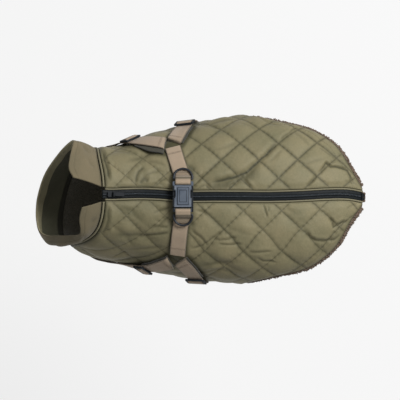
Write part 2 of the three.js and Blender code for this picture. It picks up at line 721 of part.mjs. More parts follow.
// Strap adjuster: a frame with two slots, and the webbing that goes over its middle bar.
const SLOT_LENGTH = (ADJUSTER.length - 2 * ADJUSTER.rail - ADJUSTER.bar) / 2;
function adjusterFrame() {
  const shape = roundedRectangle(ADJUSTER.width, ADJUSTER.length, 2.4);
  for (const side of [1, -1]) {
    shape.holes.push(slot(WEBBING.width + 1, SLOT_LENGTH, 0, (side * (ADJUSTER.bar + SLOT_LENGTH)) / 2));
  }
  return plate(shape, ADJUSTER.thickness, 2);
}
function adjusterLoop() {
  const [inside, outside] = [3.9, 5.5];
  const bottom = -ADJUSTER.thickness / 2 - ADJUSTER.clear - 0.6;
  const top = ADJUSTER.thickness / 2 + 0.6;
  const profile = outline([
    [-outside, bottom], [-inside, bottom], [-inside, top], [inside, top], [inside, bottom],
    [outside, bottom], [outside, top + 0.8], [inside - 1, top + 1.8], [1 - inside, top + 1.8],
    [-outside, top + 0.8],
  ]);
  return acrossStrap(plate(profile, WEBBING.width));
}
// Turns a profile, drawn along the strap and upwards, so that it is extruded across the strap.
function acrossStrap(geometry) {
  const axes = [new THREE.Vector3(0, 1, 0), new THREE.Vector3(0, 0, 1), new THREE.Vector3(1, 0, 0)];
  return geometry.applyMatrix4(new THREE.Matrix4().makeBasis(...axes));
}
// Lays geometry, with X across the strap, Y along it and Z up, over a row of a strap's table.
function overStrap(geometry, { strap, row }) {
  const { centre, ahead, side, top } = course(STRAPS[strap])(row);
  centre.addScaledVector(top, WEBBING.thickness + ADJUSTER.clear + ADJUSTER.thickness / 2);
  return geometry.applyMatrix4(new THREE.Matrix4().makeBasis(side.negate(), ahead, top).setPosition(centre));
}

// Side-release buckle, drawn with X across the strap, Y along it and Z up.
const BUCKLE_HEIGHT = BUCKLE.base + BUCKLE.thickness / 2;
const block = (x, y, z, width, length, height) => {
  const geometry = new THREE.BoxGeometry(width, length, height).translate(x, y, z);
  return asManifold(geometry);
};
function buckleSocket() {
  const { halfWidth: w, thickness, back, front } = BUCKLE;
  const corner = 1.5;
  const body = plate(
    outline([
      [-w + corner, back], [w - corner, back], [w, back + corner], [w, front - corner],
      [w - corner, front], [-w + corner, front], [-w, front - corner], [-w, back + corner],
    ]),
    thickness,
  );
  const panel = plate(roundedRectangle(17, 27.3, 2), 1.4, 2).translate(0, -1, thickness / 2 + 0.5);
  let solid = asManifold(body).add(asManifold(panel)).add(asManifold(barFrame(-1)));
  for (const side of [1, -1]) {
    solid = solid.subtract(block(side * (w - 1.5), 2.6, 0, 6.4, 9.2, thickness + 2));
    solid = solid.subtract(block(side * (w - 2.9), 12, 0, 4, 12, 5.6));
  }
  return asGeometry(solid).translate(0, 0, BUCKLE_HEIGHT);
}
// The open end of a buckle half, with the bar that the webbing goes round.
function barFrame(side) {
  const { halfWidth: w, back, front, barThickness } = BUCKLE;
  const start = side > 0 ? front + 1 : -back - 1;
  const bar = side > 0 ? HARNESS_SIDES.right.bar : HARNESS_SIDES.left.bar;
  const end = bar + barThickness / 2;
  const shape = outline([[-w, start], [w, start], [w, end - 1], [w - 1, end], [-w + 1, end], [-w, end - 1]]);
  const opening = bar - barThickness / 2 - start - 0.6;
  shape.holes.push(slot(WEBBING.width + 1, opening, 0, start + 0.6 + opening / 2));
  const frame = plate(shape, barThickness);
  return side > 0 ? frame : frame.rotateZ(Math.PI);
}
function bucklePlug() {
  const { halfWidth: w, front } = BUCKLE;
  const start = front + GAP;
  const base = plate(outline([[-w, start], [w, start], [w, start + 1], [-w, start + 1]]), 7);
  const prong = (side) => {
    const corners = [
      [w - 4.4, start + 0.2], [w - 1.4, start + 0.2], [w - 1.4, 7.4], [w - 0.2, 5.4], [w - 0.2, 0.6],
      [w - 1.6, -1.2], [w - 3.4, -1.2], [w - 4.4, 7],
    ];
    return plate(outline(corners.map(([x, y]) => [side * x, y])), 4.8);
  };
  return joined(base, prong(1), prong(-1), barFrame(1)).translate(0, 0, BUCKLE_HEIGHT);
}

// Height of a face of the harness cloth beside the zip: the body's inner face, raised by lift.
function heightBeside(y, lift) {
  let [low, high] = [0, 60];
  for (let k = 0; k < 30; k += 1) {
    const turn = (low + high) / 2;
    if (Math.abs(lifted(0, Math.sign(y) * turn, lift).y) < Math.abs(y)) low = turn;
    else high = turn;
  }
  return lifted(0, Math.sign(y) * low, lift).z;
}

// The folded end of a centre strap, sewn round the buckle's bar and the ring's bar.
function buckleLoop(side) {
  const { bar, hinge, end } = side > 0 ? HARNESS_SIDES.right : HARNESS_SIDES.left;
  const z = BUCKLE_HEIGHT;
  const clear = BUCKLE.barThickness / 2 + 0.4;
  const round = RING.wire + 0.45;
  const under = (y) => heightBeside(side * y, LIFT + LAYER);
  const over = (y) => under(y) + WEBBING.thickness;
  const ringTop = RING.height + round + 1.3;
  const profile = outline([
    [bar - clear - 1.2, z - 1.6], [bar - clear, z - clear - 1.2], [bar + clear, z - clear - 1.4],
    [hinge - 1, under(hinge - 1)], [(hinge + end) / 2, under((hinge + end) / 2)], [end, under(end)],
    [end, over(end)], [(hinge + end) / 2, over((hinge + end) / 2)],
    [hinge + round + 1.4, over(hinge + round + 1.4)],
    [hinge + round + 1.2, RING.height + 1], [hinge + 1.2, ringTop], [hinge - 1.2, ringTop + 0.2],
    [bar + clear, z + clear + 1.3], [bar - clear, z + clear + 1.3], [bar - clear - 1.2, z + 1.2],
  ]);
  profile.holes.push(slot(2 * clear, 2 * clear, bar, z));
  const ringHole = new THREE.Path();
  ringHole.absarc(hinge, RING.height, round, 0, 2 * Math.PI, true);
  profile.holes.push(ringHole);
  const loop = acrossStrap(plate(profile, WEBBING.width, 10));
  return side > 0 ? loop : loop.rotateZ(Math.PI);
}

// D-ring, hinged on its straight bar; it lies outwards on the centre strap.
function leashRing(side) {
  const { wire, bend, straight, corner } = RING;
  const { hinge } = side > 0 ? HARNESS_SIDES.right : HARNESS_SIDES.left;
  const route = [];
  const arc = (x, y, radius, from, to, count) => {
    for (let k = 0; k <= count; k += 1) {
      const angle = radians(from + ((to - from) * k) / count);
      route.push(new THREE.Vector3(x + radius * Math.cos(angle), y + radius * Math.sin(angle), 0));
    }
  };
  arc(0, straight, bend, 0, 180, 14);
  arc(corner - bend, corner, corner, 185, 270, 3);
  arc(bend - corner, corner, corner, 270, 355, 3);
  const sections = route.map((here, k) => {
    const ahead = route[(k + 1) % route.length].clone().sub(route.at(k - 1)).normalize();
    const flat = new THREE.Vector3(-ahead.y, ahead.x, 0);
    return Array.from({ length: 8 }, (_, i) => {
      const angle = (2 * Math.PI * (i + 0.5)) / 8;
      return here.clone().addScaledVector(flat, wire * Math.cos(angle)).setZ(wire * Math.sin(angle));
    });
  });
  const geometry = loft(sections, true).rotateX(-radians(RING.droop)).translate(0, hinge, RING.height);
  return side > 0 ? geometry : geometry.rotateZ(Math.PI);
}

// Zip slider with its bridge pin, and the pull tab that turns on the pin.
const PIN = { along: SLIDER.along + 3, height: SLIDER.base + SLIDER.height + 2.3 };
const zipHeading = onRing(SLIDER.along + 8, 0).sub(onRing(SLIDER.along - 8, 0)).normalize();
const zipPitch = Math.asin(zipHeading.z);
function onZip(geometry) {
  const { x, y, z } = onRing(SLIDER.along, 0);
  return geometry.rotateY(-zipPitch).translate(x, y, z);
}
function zipSlider() {
  const { length, width, base, height, pin } = SLIDER;
  const [front, rear, edge] = [-length / 2, length / 2, width / 2];
  const shape = outline([
    [front, 1 - edge], [front + 3, -edge], [rear - 2, 1.2 - edge], [rear, -1.6],
    [rear, 1.6], [rear - 2, edge - 1.2], [front + 3, edge], [front, edge - 1],
  ]);
  const body = plate(shape, height).translate(0, 0, base + height / 2);
  const [foot, head] = [base + height - 0.5, PIN.height + 1.4];
  const cheek = (side) =>
    plate(outline([[0.4, foot], [5.6, foot], [4.4, head], [1.6, head]]), 1)
      .rotateX(Math.PI / 2)
      .translate(0, side * 3, 0);
  const bar = new THREE.CylinderGeometry(pin, pin, 6.4, 8);
  bar.translate(PIN.along - SLIDER.along, 0, PIN.height);
  return onZip(joined(body, cheek(1), cheek(-1), bar));
}
function zipPull() {
  const [x, z] = [PIN.along - SLIDER.along, PIN.height];
  const eye = new THREE.Shape().absarc(0, 0, SLIDER.pin + 1.3, 0, 2 * Math.PI, false);
  const hole = new THREE.Path();
  hole.absarc(0, 0, SLIDER.pin + 0.4, 0, 2 * Math.PI, true);
  eye.holes.push(hole);
  const knuckle = plate(eye, 4, 7).rotateX(Math.PI / 2);
  const tab = plate(roundedRectangle(16, 6, 2.4), 1.6, 3).translate(9.5, 0, 0);
  return onZip(joined(knuckle, tab).translate(x, 0, z));
}
// Folded tape that finishes the zip past the rear hem.
function zipEndTab() {
  const sections = [TAIL_HEM - 1.6, TAIL_HEM + 2, TAIL_HEM + 5].map((along, k) => {
    const half = [6.4, 6, 2.6][k];
    const [low, high] = [[1.4, 4.2], [0.6, 3.6], [0.4, 2.4]][k];
    return [[-half, low], [half, low], [half, high], [-half, high]].map(([around, lift]) =>
      lifted(along, turnAt(along, around), lift),
    );
  });
  return loft(sections);
}

const coat = new THREE.Group();
const materials = Object.fromEntries(
  Object.entries(MATERIALS).map(([name, values]) => [name, new THREE.MeshStandardMaterial(values)]),
);
function add(name, geometry, material) {
  const mesh = new THREE.Mesh(geometry, materials[material]);
  mesh.name = name;
  coat.add(mesh);
}

for (const [word, side] of [["right", 1], ["left", -1]]) {
  add(`back_${word}`, backPanel(side), "shell");
  add(`zip_piping_${word}`, zipPiping(side), "piping");
  add(`buckle_loop_${word}`, buckleLoop(side), "webbing");
  add(`leash_ring_${word}`, leashRing(side), "ring");
}
add("belly", bellyPanel(), "softshell");
add("collar", collar(), "softshell");
add("rear_fleece", rearFleece(), "fleece");
add("neck_piping", neckPiping(), "piping");
add("zip_tape", zipTape(), "zip");
add("zip_slider", zipSlider(), "zip");
add("zip_pull", zipPull(), "zip");
add("zip_end_tab", zipEndTab(), "zip");
add("buckle_socket", buckleSocket(), "plastic");
add("buckle_plug", bucklePlug(), "plastic");
for (const [word, place] of Object.entries(ADJUSTERS)) {
  add(`adjuster_${word}`, overStrap(adjusterFrame(), place), "plastic");
}
for (const [name, rows] of Object.entries(STRAPS)) {
  const loops = Object.values(ADJUSTERS).filter(({ strap }) => strap === name);
  const humps = loops.map((place) => overStrap(adjusterLoop(), place));
  const pieces = [webbing(rows, SLANTED_ENDS[name]), ...humps];
  add(name, joined(...pieces), "webbing");
}

export default coat;
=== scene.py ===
# %% [markdown]
# # A dog's winter coat with a harness
# The coat is a quilted tube that a dog wears, seen here from above as if a dog filled it out.
# Every piece below is cloth, webbing or a small moulded part. All sizes are in millimetres in the
# tables and turned into metres once, when a mesh is made.

# %% Frame and units
import math

import bmesh
import bpy
import numpy as np
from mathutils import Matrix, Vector


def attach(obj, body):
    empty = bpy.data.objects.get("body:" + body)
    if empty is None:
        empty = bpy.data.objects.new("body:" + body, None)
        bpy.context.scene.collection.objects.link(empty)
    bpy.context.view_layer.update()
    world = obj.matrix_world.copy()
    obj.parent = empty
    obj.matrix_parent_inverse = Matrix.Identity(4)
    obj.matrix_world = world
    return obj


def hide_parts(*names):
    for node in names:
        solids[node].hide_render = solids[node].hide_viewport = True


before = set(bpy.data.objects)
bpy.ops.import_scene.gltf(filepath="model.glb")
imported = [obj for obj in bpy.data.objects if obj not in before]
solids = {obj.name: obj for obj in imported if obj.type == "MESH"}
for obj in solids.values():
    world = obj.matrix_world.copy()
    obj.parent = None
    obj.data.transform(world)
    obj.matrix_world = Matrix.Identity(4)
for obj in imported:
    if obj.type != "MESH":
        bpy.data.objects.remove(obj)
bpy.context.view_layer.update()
MM = 0.001
print("solids loaded:", len(solids))

# %% [markdown]
# ## The form that everything lies on
# A dog's trunk is a row of rounded hoops. One table holds the hoops, and a smooth curve runs through
# each of its columns, so any place on the coat can be asked for by two numbers: how far along the
# back it is, and how many degrees round from the spine. Cloth does not stretch, so patterns are
# laid out by the length of cloth round the hoop instead of by degrees.

# %% Hoops of the body
WALL = 4  # shell, padding and lining where they are sewn together
GAP = 0.3
NECK_SEAM = -128
BODY_START = NECK_SEAM + 2.5
BELLY_HEM = 95
TAIL_HEM = 286
SIDE_SEAM_TURN = 104
ROUNDNESS = 2.3
HOOP_COLUMNS = ("along", "rise", "lean", "half_width", "depth", "sway", "shift", "skew")
HOOPS = [
    (-128, 16, 25, 73, 146, 2, 3, 16),
    (-112, 11, 24, 79, 156, 2, -2, 11),
    (-95, 8, 21, 83, 166, 3, -8, 6),
    (-65, 3, 15, 91, 180, 4, -7, 2),
    (-35, 1, 10, 103, 189, 3, -3, 0),
    (5, 0, 4, 115, 192, 0, 0, 0),
    (50, 0, 0, 124, 186, 0, 2, 0),
    (95, -1, 0, 129, 176, 0, 3, 0),
    (140, -4, 0, 127, 170, 0, 3, 0),
    (190, -9, 0, 118, 165, 2, 0, 0),
    (230, -18, 0, 106, 160, 5, -4, 0),
    (262, -29, 0, 94, 155, 6, -6, 0),
    (286, -41, 0, 84, 150, 3, -3, 0),
]
REAR_HEM_ALONG = [95, 102, 112, 126, 155, 184, 203, 222, 242, 251, 261, 270, 280, 286]
REAR_HEM_TURN = [104, 94, 86, 79, 73, 71, 68, 61, 50, 42, 31, 21, 12, 7]
print("hoops:", len(HOOPS), "coat runs from", NECK_SEAM, "to", TAIL_HEM, "mm")


def through(keys, values):
    """A smooth curve through values at rising keys, for one number or a whole array."""
    keys, values = np.asarray(keys, float), np.asarray(values, float)
    last = len(keys) - 1
    low = np.maximum(np.arange(last + 1) - 1, 0)
    high = np.minimum(np.arange(last + 1) + 1, last)
    slope = (values[high] - values[low]) / (keys[high] - keys[low])

    def curve(x):
        x = np.asarray(x, float)
        i = np.clip(np.searchsorted(keys, x, side="left") - 1, 0, last - 1)
        span = keys[i + 1] - keys[i]
        t = (x - keys[i]) / span
        inside = (
            values[i] * (2 * t**3 - 3 * t**2 + 1)
            + slope[i] * span * (t**3 - 2 * t**2 + t)
            + values[i + 1] * (3 * t**2 - 2 * t**3)
            + slope[i + 1] * span * (t**3 - t**2)
        )
        before = values[0] + slope[0] * (x - keys[0])
        after = values[last] + slope[last] * (x - keys[last])
        return np.where(t < 0, before, np.where(t > 1, after, inside))

    return curve


hoop_rows = np.array(HOOPS, float)
hoop = {name: through(hoop_rows[:, 0], hoop_rows[:, k]) for k, name in enumerate(HOOP_COLUMNS)}
rear_hem_turn = through(REAR_HEM_ALONG, REAR_HEM_TURN)


def smooth(t):
    """Eases from 0 to 1."""
    t = np.clip(t, 0, 1)
    return t * t * (3 - 2 * t)


def bell(x, width):
    """1 at x = 0, falling away softly over a width on both sides."""
    return np.exp(-((x / width) ** 2))


def unit(v):
    return v / np.maximum(np.linalg.norm(v, axis=-1, keepdims=True), 1e-9)


def on_hoop(along, turn):
    """A point on the inner face of the body."""
    along, turn = np.broadcast_arrays(np.asarray(along, float), np.asarray(turn, float))
    angle = np.radians(turn)
    lean = np.radians(hoop["lean"](along))
    half = hoop["depth"](along) / 2
    power = 2 / ROUNDNESS
    sine, cosine = np.sin(angle), np.cos(angle)
    share = np.sign(sine) * np.abs(sine) ** power
    down = half - half * np.sign(cosine) * np.abs(cosine) ** power
    low = smooth(down / half)
    x = along - down * np.sin(lean) + hoop["skew"](along) * share * low
    y = hoop["half_width"](along) * share + hoop["sway"](along) + hoop["shift"](along) * low
    z = hoop["rise"](along) - down * np.cos(lean)
    return np.stack([x, y, z], -1)


def outward(along, turn):
    ahead = on_hoop(along + 0.5, turn) - on_hoop(along - 0.5, turn)
    around = on_hoop(along, turn + 0.5) - on_hoop(along, turn - 0.5)
    return unit(np.cross(ahead, around))


def lifted(along, turn, lift):
    return on_hoop(along, turn) + outward(along, turn) * np.asarray(lift, float)[..., None]


# %% Lengths of cloth round the body
TABLE_STEP = 2.0
table_along = np.arange(-160, 312, TABLE_STEP)
table_turn = np.arange(0, 181, TABLE_STEP)


def length_rows(side):
    points = on_hoop(table_along[:, None], side * table_turn[None, :])
    steps = np.linalg.norm(np.diff(points, axis=1), axis=-1)
    return np.concatenate([np.zeros((len(table_along), 1)), np.cumsum(steps, axis=1)], axis=1)


LENGTHS = {1: length_rows(1), -1: length_rows(-1)}


def length_row_at(along, side):
    place = (np.asarray(along, float).ravel() - table_along[0]) / TABLE_STEP
    i = np.clip(place.astype(int), 0, len(table_along) - 2)
    share = (place - i)[:, None]
    return LENGTHS[side][i] * (1 - share) + LENGTHS[side][i + 1] * share


def length_at(along, turn, side):
    """Length of cloth from the spine to a turn; side is 1 for the right and -1 for the left."""
    along, turn = np.broadcast_arrays(np.asarray(along, float), np.asarray(turn, float))
    rows = length_row_at(along, side)
    place = np.clip(np.abs(turn).ravel() / TABLE_STEP, 0, rows.shape[1] - 1.001)
    i = place.astype(int)
    pick = np.arange(len(i))
    found = rows[pick, i] + (rows[pick, i + 1] - rows[pick, i]) * (place - i)
    return found.reshape(along.shape)


def turn_at(along, around):
    """Degrees round from the spine at a length of cloth, negative on the left."""
    along, around = np.broadcast_arrays(np.asarray(along, float), np.asarray(around, float))
    flat_along, flat = along.ravel(), around.ravel()
    turn = np.zeros(len(flat))
    for side in (1, -1):
        mine = np.where(flat >= 0 if side > 0 else flat < 0)[0]
        if not len(mine):
            continue
        rows = length_row_at(flat_along[mine], side)
        length = np.abs(flat[mine])[:, None]
        i = np.clip((rows < length).sum(1) - 1, 0, rows.shape[1] - 2)
        pick = np.arange(len(mine))
        share = (length[:, 0] - rows[pick, i]) / (rows[pick, i + 1] - rows[pick, i])
        turn[mine] = side * TABLE_STEP * (i + share)
    return turn.reshape(along.shape)


print("half girth behind the harness:", round(float(length_at(60, 180, 1))), "mm")

# %% [markdown]
# ## Making meshes
# Cloth is a grid of points for its outer face and one for its inner face, joined round the edge.
# A grid can be bent, puffed and creased point by point, which a plain solid cannot. Piping and
# wire are a round section that travels along a path. Webbing is a flat section that does the same.

# %% Mesh helpers
def in_scene(name, data):
    made = bpy.data.objects.new(name, data)
    bpy.context.scene.collection.objects.link(made)
    return made


def settled(piece):
    """Turns what a piece's modifiers make of it into its plain mesh."""
    mesh = bpy.data.meshes.new_from_object(piece.evaluated_get(bpy.context.evaluated_depsgraph_get()))
    piece.modifiers.clear()
    piece.data = mesh
    mesh.name = piece.name
    return piece


def make_piece(name, points, faces, materials, uv=None, slots=None, painted_shade=None):
    """A mesh object from points in millimetres; uv holds one pair of metres for each point, and
    the last array a number from 0 to 1 for each point: how much shade is painted there, in folds and seams."""
    mesh = bpy.data.meshes.new(name)
    mesh.from_pydata((np.asarray(points) * MM).tolist(), [], [list(f) for f in faces])
    for material in materials:
        mesh.materials.append(material)
    if slots is not None:
        mesh.polygons.foreach_set("material_index", np.asarray(slots, np.int32))
    if uv is not None:
        layer = mesh.uv_layers.new(name="cloth")
        corners = np.zeros(len(mesh.loops), np.int32)
        mesh.loops.foreach_get("vertex_index", corners)
        layer.data.foreach_set("uv", np.asarray(uv, np.float32)[corners].ravel())
    if painted_shade is not None:
        depth = mesh.attributes.new("painted_shade", "FLOAT", "POINT")
        depth.data.foreach_set("value", np.asarray(painted_shade, np.float32))
    mesh.polygons.foreach_set("use_smooth", np.full(len(mesh.polygons), True))
    mesh.update()
    return in_scene(name, mesh)


def point_inwards(points, quads):
    """Whether the faces enclose a negative volume, so that they have to be turned round."""
    a, b, c, d = (points[np.asarray(quads)[:, k]] for k in range(4))
    total = np.einsum("ij,ij->i", a, np.cross(b, c)) + np.einsum("ij,ij->i", a, np.cross(c, d))
    return total.sum() <= 0


def shell_faces(rows, columns):
    """Faces of a wall between two grids of the same size: outer, inner and the edge all round."""
    index = np.arange(rows * columns).reshape(rows, columns)
    outer = np.stack([index[:-1, :-1], index[1:, :-1], index[1:, 1:], index[:-1, 1:]], -1)
    outer = outer.reshape(-1, 4)
    inner = outer[:, ::-1] + rows * columns
    rim = np.concatenate([index[0, :-1], index[:-1, -1], index[-1, :0:-1], index[:0:-1, 0]])
    after = np.roll(rim, -1)
    edge = np.stack([rim, after, after + rows * columns, rim + rows * columns], -1)
    return outer, inner, edge


def cloth_piece(name, outer, inner, uv, shell_material, lining_material, painted_shade=None):
    rows, columns = outer.shape[:2]
    points = np.concatenate([outer.reshape(-1, 3), inner.reshape(-1, 3)])
    parts = shell_faces(rows, columns)
    faces = np.concatenate(parts)
    if point_inwards(points, faces):
        faces = faces[:, ::-1]
    slots = np.repeat([0, 1, 0], [len(part) for part in parts])
    pairs = np.concatenate([uv.reshape(-1, 2)] * 2) * MM
    if painted_shade is not None:
        painted_shade = np.concatenate([painted_shade.ravel(), np.zeros(rows * columns)])
    return make_piece(name, points, faces, [shell_material, lining_material], pairs, slots, painted_shade)


def sweep(name, sections, material, uv_sections=None, ring=False, painted_shade=None):
    """A skin over equal sections that follow one another, capped at both ends unless it is a ring."""
    count, sides = sections.shape[:2]
    points = sections.reshape(-1, 3)
    faces = []
    for k in range(count if ring else count - 1):
        here, there = k * sides, ((k + 1) % count) * sides
        for i in range(sides):
            j = (i + 1) % sides
            faces.append((here + i, here + j, there + j, there + i))
    flipped = point_inwards(points, faces)
    if not ring:
        faces += [tuple(range(sides))[::-1], tuple(range((count - 1) * sides, count * sides))]
    if flipped:
        faces = [face[::-1] for face in faces]
    uv = None if uv_sections is None else uv_sections.reshape(-1, 2) * MM
    return make_piece(name, points, faces, [material], uv, painted_shade=painted_shade)


def joined(name, pieces):
    """Joins pieces into the first one, which takes the name."""
    with bpy.context.temp_override(active_object=pieces[0], selected_editable_objects=pieces):
        bpy.ops.object.join()
    pieces[0].name = name
    pieces[0].data.name = name
    return pieces[0]


def cut_size(grid):
    """Widest, longest and area, in metres, of the flat cloth that a grid of points was cut from."""
    down, across = np.diff(grid, axis=0), np.diff(grid, axis=1)
    area = np.linalg.norm(np.cross(down[:, :-1], across[:-1]), axis=-1).sum() * MM * MM
    width = np.linalg.norm(across, axis=-1).sum(1).max() * MM
    return float(width), float(np.linalg.norm(down, axis=-1).sum(0).max() * MM), float(area)


def steps_along(points):
    lengths = np.linalg.norm(np.diff(points, axis=0), axis=1)
    return np.concatenate([[0], np.cumsum(lengths)])


def blended(at, run, values):
    """Values in columns, read off between the rows of a run."""
    return np.stack([np.interp(at, run, column) for column in values.T], -1)


def cord(name, centres, ups, radius, material, sides=12, ring=False):
    """A round cord; its UV runs round it and along it."""
    if ring:
        ahead = unit(np.roll(centres, -1, 0) - np.roll(centres, 1, 0))
    else:
        ahead = unit(np.gradient(centres, axis=0))
    side = unit(np.cross(ahead, ups))
    top = np.cross(side, ahead)
    angle = np.linspace(0, 2 * np.pi, sides, endpoint=False)
    sections = centres[:, None] + radius * (
        side[:, None] * np.cos(angle)[None, :, None] + top[:, None] * np.sin(angle)[None, :, None]
    )
    run = steps_along(centres)
    uv = np.stack(np.broadcast_arrays(angle[None, :] * radius, run[:, None]), -1)
    return sweep(name, sections, material, uv, ring)


# %% [markdown]
# ## Colours and cloth
# The shell is an olive nylon with a faint shine, the collar and belly are a darker matt cloth, the
# harness is taupe webbing. Three effects are shared: the weave of threads, the slow unevenness of
# dye and wear, and the quilting lines, which pull small puckers into the cloth. Each is a node
# group that gives out only a colour factor, a mask or a height.

# %% Node helpers
def srgb(red, green, blue):
    """A colour as it reads in a picture, 0 to 255, turned into Blender's linear values."""
    values = [c / 255 for c in (red, green, blue)]
    return (*[c / 12.92 if c <= 0.04045 else ((c + 0.055) / 1.055) ** 2.4 for c in values], 1)


class Sketch:
    """A short way to write nodes into a tree."""

    def __init__(self, tree):
        self.tree = tree

    def node(self, kind, values=None, **settings):
        made = self.tree.nodes.new(kind)
        for key, value in settings.items():
            setattr(made, key, value)
        for key, value in (values or {}).items():
            if isinstance(value, bpy.types.NodeSocket):
                self.tree.links.new(value, made.inputs[key])
            else:
                made.inputs[key].default_value = value
        return made

    def math(self, operation, first, second=0.0):
        made = self.tree.nodes.new("ShaderNodeMath")
        made.operation = operation
        for key, value in ((0, first), (1, second)):
            if isinstance(value, bpy.types.NodeSocket):
                self.tree.links.new(value, made.inputs[key])
            else:
                made.inputs[key].default_value = value
        return made.outputs[0]


def give_sockets(group, inputs, outputs):
    for label, kind, value in inputs:
        socket = group.interface.new_socket(label, in_out="INPUT", socket_type=kind)
        if value is not None:
            socket.default_value = value
    for label, kind in outputs:
        group.interface.new_socket(label, in_out="OUTPUT", socket_type=kind)


def new_group(name, inputs, outputs):
    """A shader node group with named inputs and outputs, and its sketch."""
    group = bpy.data.node_groups.new(name, "ShaderNodeTree")
    give_sockets(group, inputs, outputs)
    sketch = Sketch(group)
    return group, sketch, sketch.node("NodeGroupInput"), sketch.node("NodeGroupOutput")


FLOAT, VECTOR, COLOR = "NodeSocketFloat", "NodeSocketVector", "NodeSocketColor"


# %% Threads, dye and quilting groups
def weave_group():
    group, s, start, end = new_group(
        "plain_weave",
        [("Place", VECTOR, None), ("Thread width", FLOAT, 0.0006)],
        [("Height", FLOAT)],
    )
    cells = s.math("DIVIDE", math.pi, start.outputs["Thread width"])
    place = s.node("ShaderNodeSeparateXYZ", {0: start.outputs["Place"]})
    across = s.math("SINE", s.math("MULTIPLY", place.outputs["X"], cells))
    down = s.math("SINE", s.math("MULTIPLY", place.outputs["Y"], cells))
    s.tree.links.new(s.math("MULTIPLY", across, down), end.inputs["Height"])
    return group


def dye_group():
    group, s, start, end = new_group(
        "uneven_dye",
        [("Place", VECTOR, None), ("Color", COLOR, None), ("Amount", FLOAT, 0.06), ("Patch", FLOAT, 0.03)],
        [("Color", COLOR), ("Patches", FLOAT)],
    )
    scale = s.math("DIVIDE", 1.0, start.outputs["Patch"])
    slow = s.node("ShaderNodeTexNoise", {"Vector": start.outputs["Place"], "Scale": scale, "Detail": 4.0})
    fine = s.node(
        "ShaderNodeTexNoise",
        {"Vector": start.outputs["Place"], "Scale": s.math("MULTIPLY", scale, 14.0), "Detail": 2.0},
    )
    both = s.math("ADD", slow.outputs["Fac"], s.math("MULTIPLY", fine.outputs["Fac"], 0.5))
    shade = s.math("ADD", 1.0, s.math("MULTIPLY", s.math("SUBTRACT", both, 0.75), start.outputs["Amount"]))
    redder = s.math("ADD", 1.0, s.math("MULTIPLY", s.math("SUBTRACT", shade, 1.0), 1.25))
    grey = s.node("ShaderNodeCombineColor", {0: redder, 1: shade, 2: shade})
    mix = s.node("ShaderNodeMix", data_type="RGBA", blend_type="MULTIPLY")
    mix.inputs["Factor"].default_value = 1.0
    s.tree.links.new(start.outputs["Color"], mix.inputs["A"])
    s.tree.links.new(grey.outputs[0], mix.inputs["B"])
    s.tree.links.new(mix.outputs["Result"], end.inputs["Color"])
    s.tree.links.new(slow.outputs["Fac"], end.inputs["Patches"])
    return group


def quilting_group():
    """Stitch lines of the quilting: a narrow mask on the line and a height for the small puckers."""
    group, s, start, end = new_group(
        "quilting_lines",
        [
            ("Place", VECTOR, None),
            ("Along", FLOAT, 0.061),
            ("Around", FLOAT, 0.058),
            ("Line width", FLOAT, 0.0012),
            ("Pucker reach", FLOAT, 0.008),
            ("Pucker spacing", FLOAT, 0.0045),
        ],
        [("Line", FLOAT), ("Height", FLOAT)],
    )
    place = s.node("ShaderNodeSeparateXYZ", {0: start.outputs["Place"]})
    along = s.math("DIVIDE", place.outputs["Y"], start.outputs["Along"])
    around = s.math("DIVIDE", place.outputs["X"], start.outputs["Around"])
    wobble = s.node("ShaderNodeTexNoise", {"Vector": start.outputs["Place"], "Scale": 90.0, "Detail": 2.0})
    shift = s.math("MULTIPLY", s.math("SUBTRACT", wobble.outputs["Fac"], 0.5), 4.0)
    stretch = s.math("MULTIPLY", start.outputs["Along"], math.pi * 0.7)
    spacing = s.math("DIVIDE", stretch, start.outputs["Pucker spacing"])
    lines, heights = [], []
    for sign in ("ADD", "SUBTRACT"):
        phase = s.math(sign, along, around)
        other = s.math("SUBTRACT" if sign == "ADD" else "ADD", along, around)
        off = s.math("ABSOLUTE", s.math("SUBTRACT", phase, s.math("ROUND", phase)))
        distance = s.math("MULTIPLY", off, s.math("MULTIPLY", start.outputs["Along"], 0.69))
        lines.append(s.math("LESS_THAN", distance, s.math("MULTIPLY", start.outputs["Line width"], 0.5)))
        near = s.math("SUBTRACT", 1.0, s.math("DIVIDE", distance, start.outputs["Pucker reach"]))
        near = s.math("MAXIMUM", near, 0.0)
        wave = s.math("SINE", s.math("ADD", s.math("MULTIPLY", other, spacing), shift))
        heights.append(s.math("MULTIPLY", s.math("MULTIPLY", near, near), wave))
    s.tree.links.new(s.math("MAXIMUM", *lines), end.inputs["Line"])
    s.tree.links.new(s.math("ADD", *heights), end.inputs["Height"])
    return group


WEAVE, DYE, QUILTING = weave_group(), dye_group(), quilting_group()
print("shared effects:", WEAVE.name, DYE.name, QUILTING.name)


# %% Materials
def new_material(name):
    material = bpy.data.materials.new(name)
    material.use_nodes = True
    material.node_tree.nodes.clear()
    s = Sketch(material.node_tree)
    shader = s.node("ShaderNodeBsdfPrincipled")
    s.node("ShaderNodeOutputMaterial", {"Surface": shader.outputs[0]})
    return material, s, shader


def placed(s, group, values):
    made = s.node("ShaderNodeGroup", node_tree=group)
    for key, value in values.items():
        if isinstance(value, bpy.types.NodeSocket):
            s.tree.links.new(value, made.inputs[key])
        else:
            made.inputs[key].default_value = value
    return made


def raised(s, shader, heights):
    """Adds bumps one after another; heights are (height socket, depth in metres, strength)."""
    normal = None
    for height, depth, strength in heights:
        bump = s.node("ShaderNodeBump", {"Height": height, "Distance": depth, "Strength": strength})
        if normal is not None:
            s.tree.links.new(normal, bump.inputs["Normal"])
        normal = bump.outputs["Normal"]
    s.tree.links.new(normal, shader.inputs["Normal"])


HOLLOW_SHADE = (0.2, 0.22, 0.18, 1)  # what is left of a colour deep in a fold, where little light comes
NEEDLE_SHADE = (0.35, 0.35, 0.3, 1)  # the same for the needle holes of the quilting


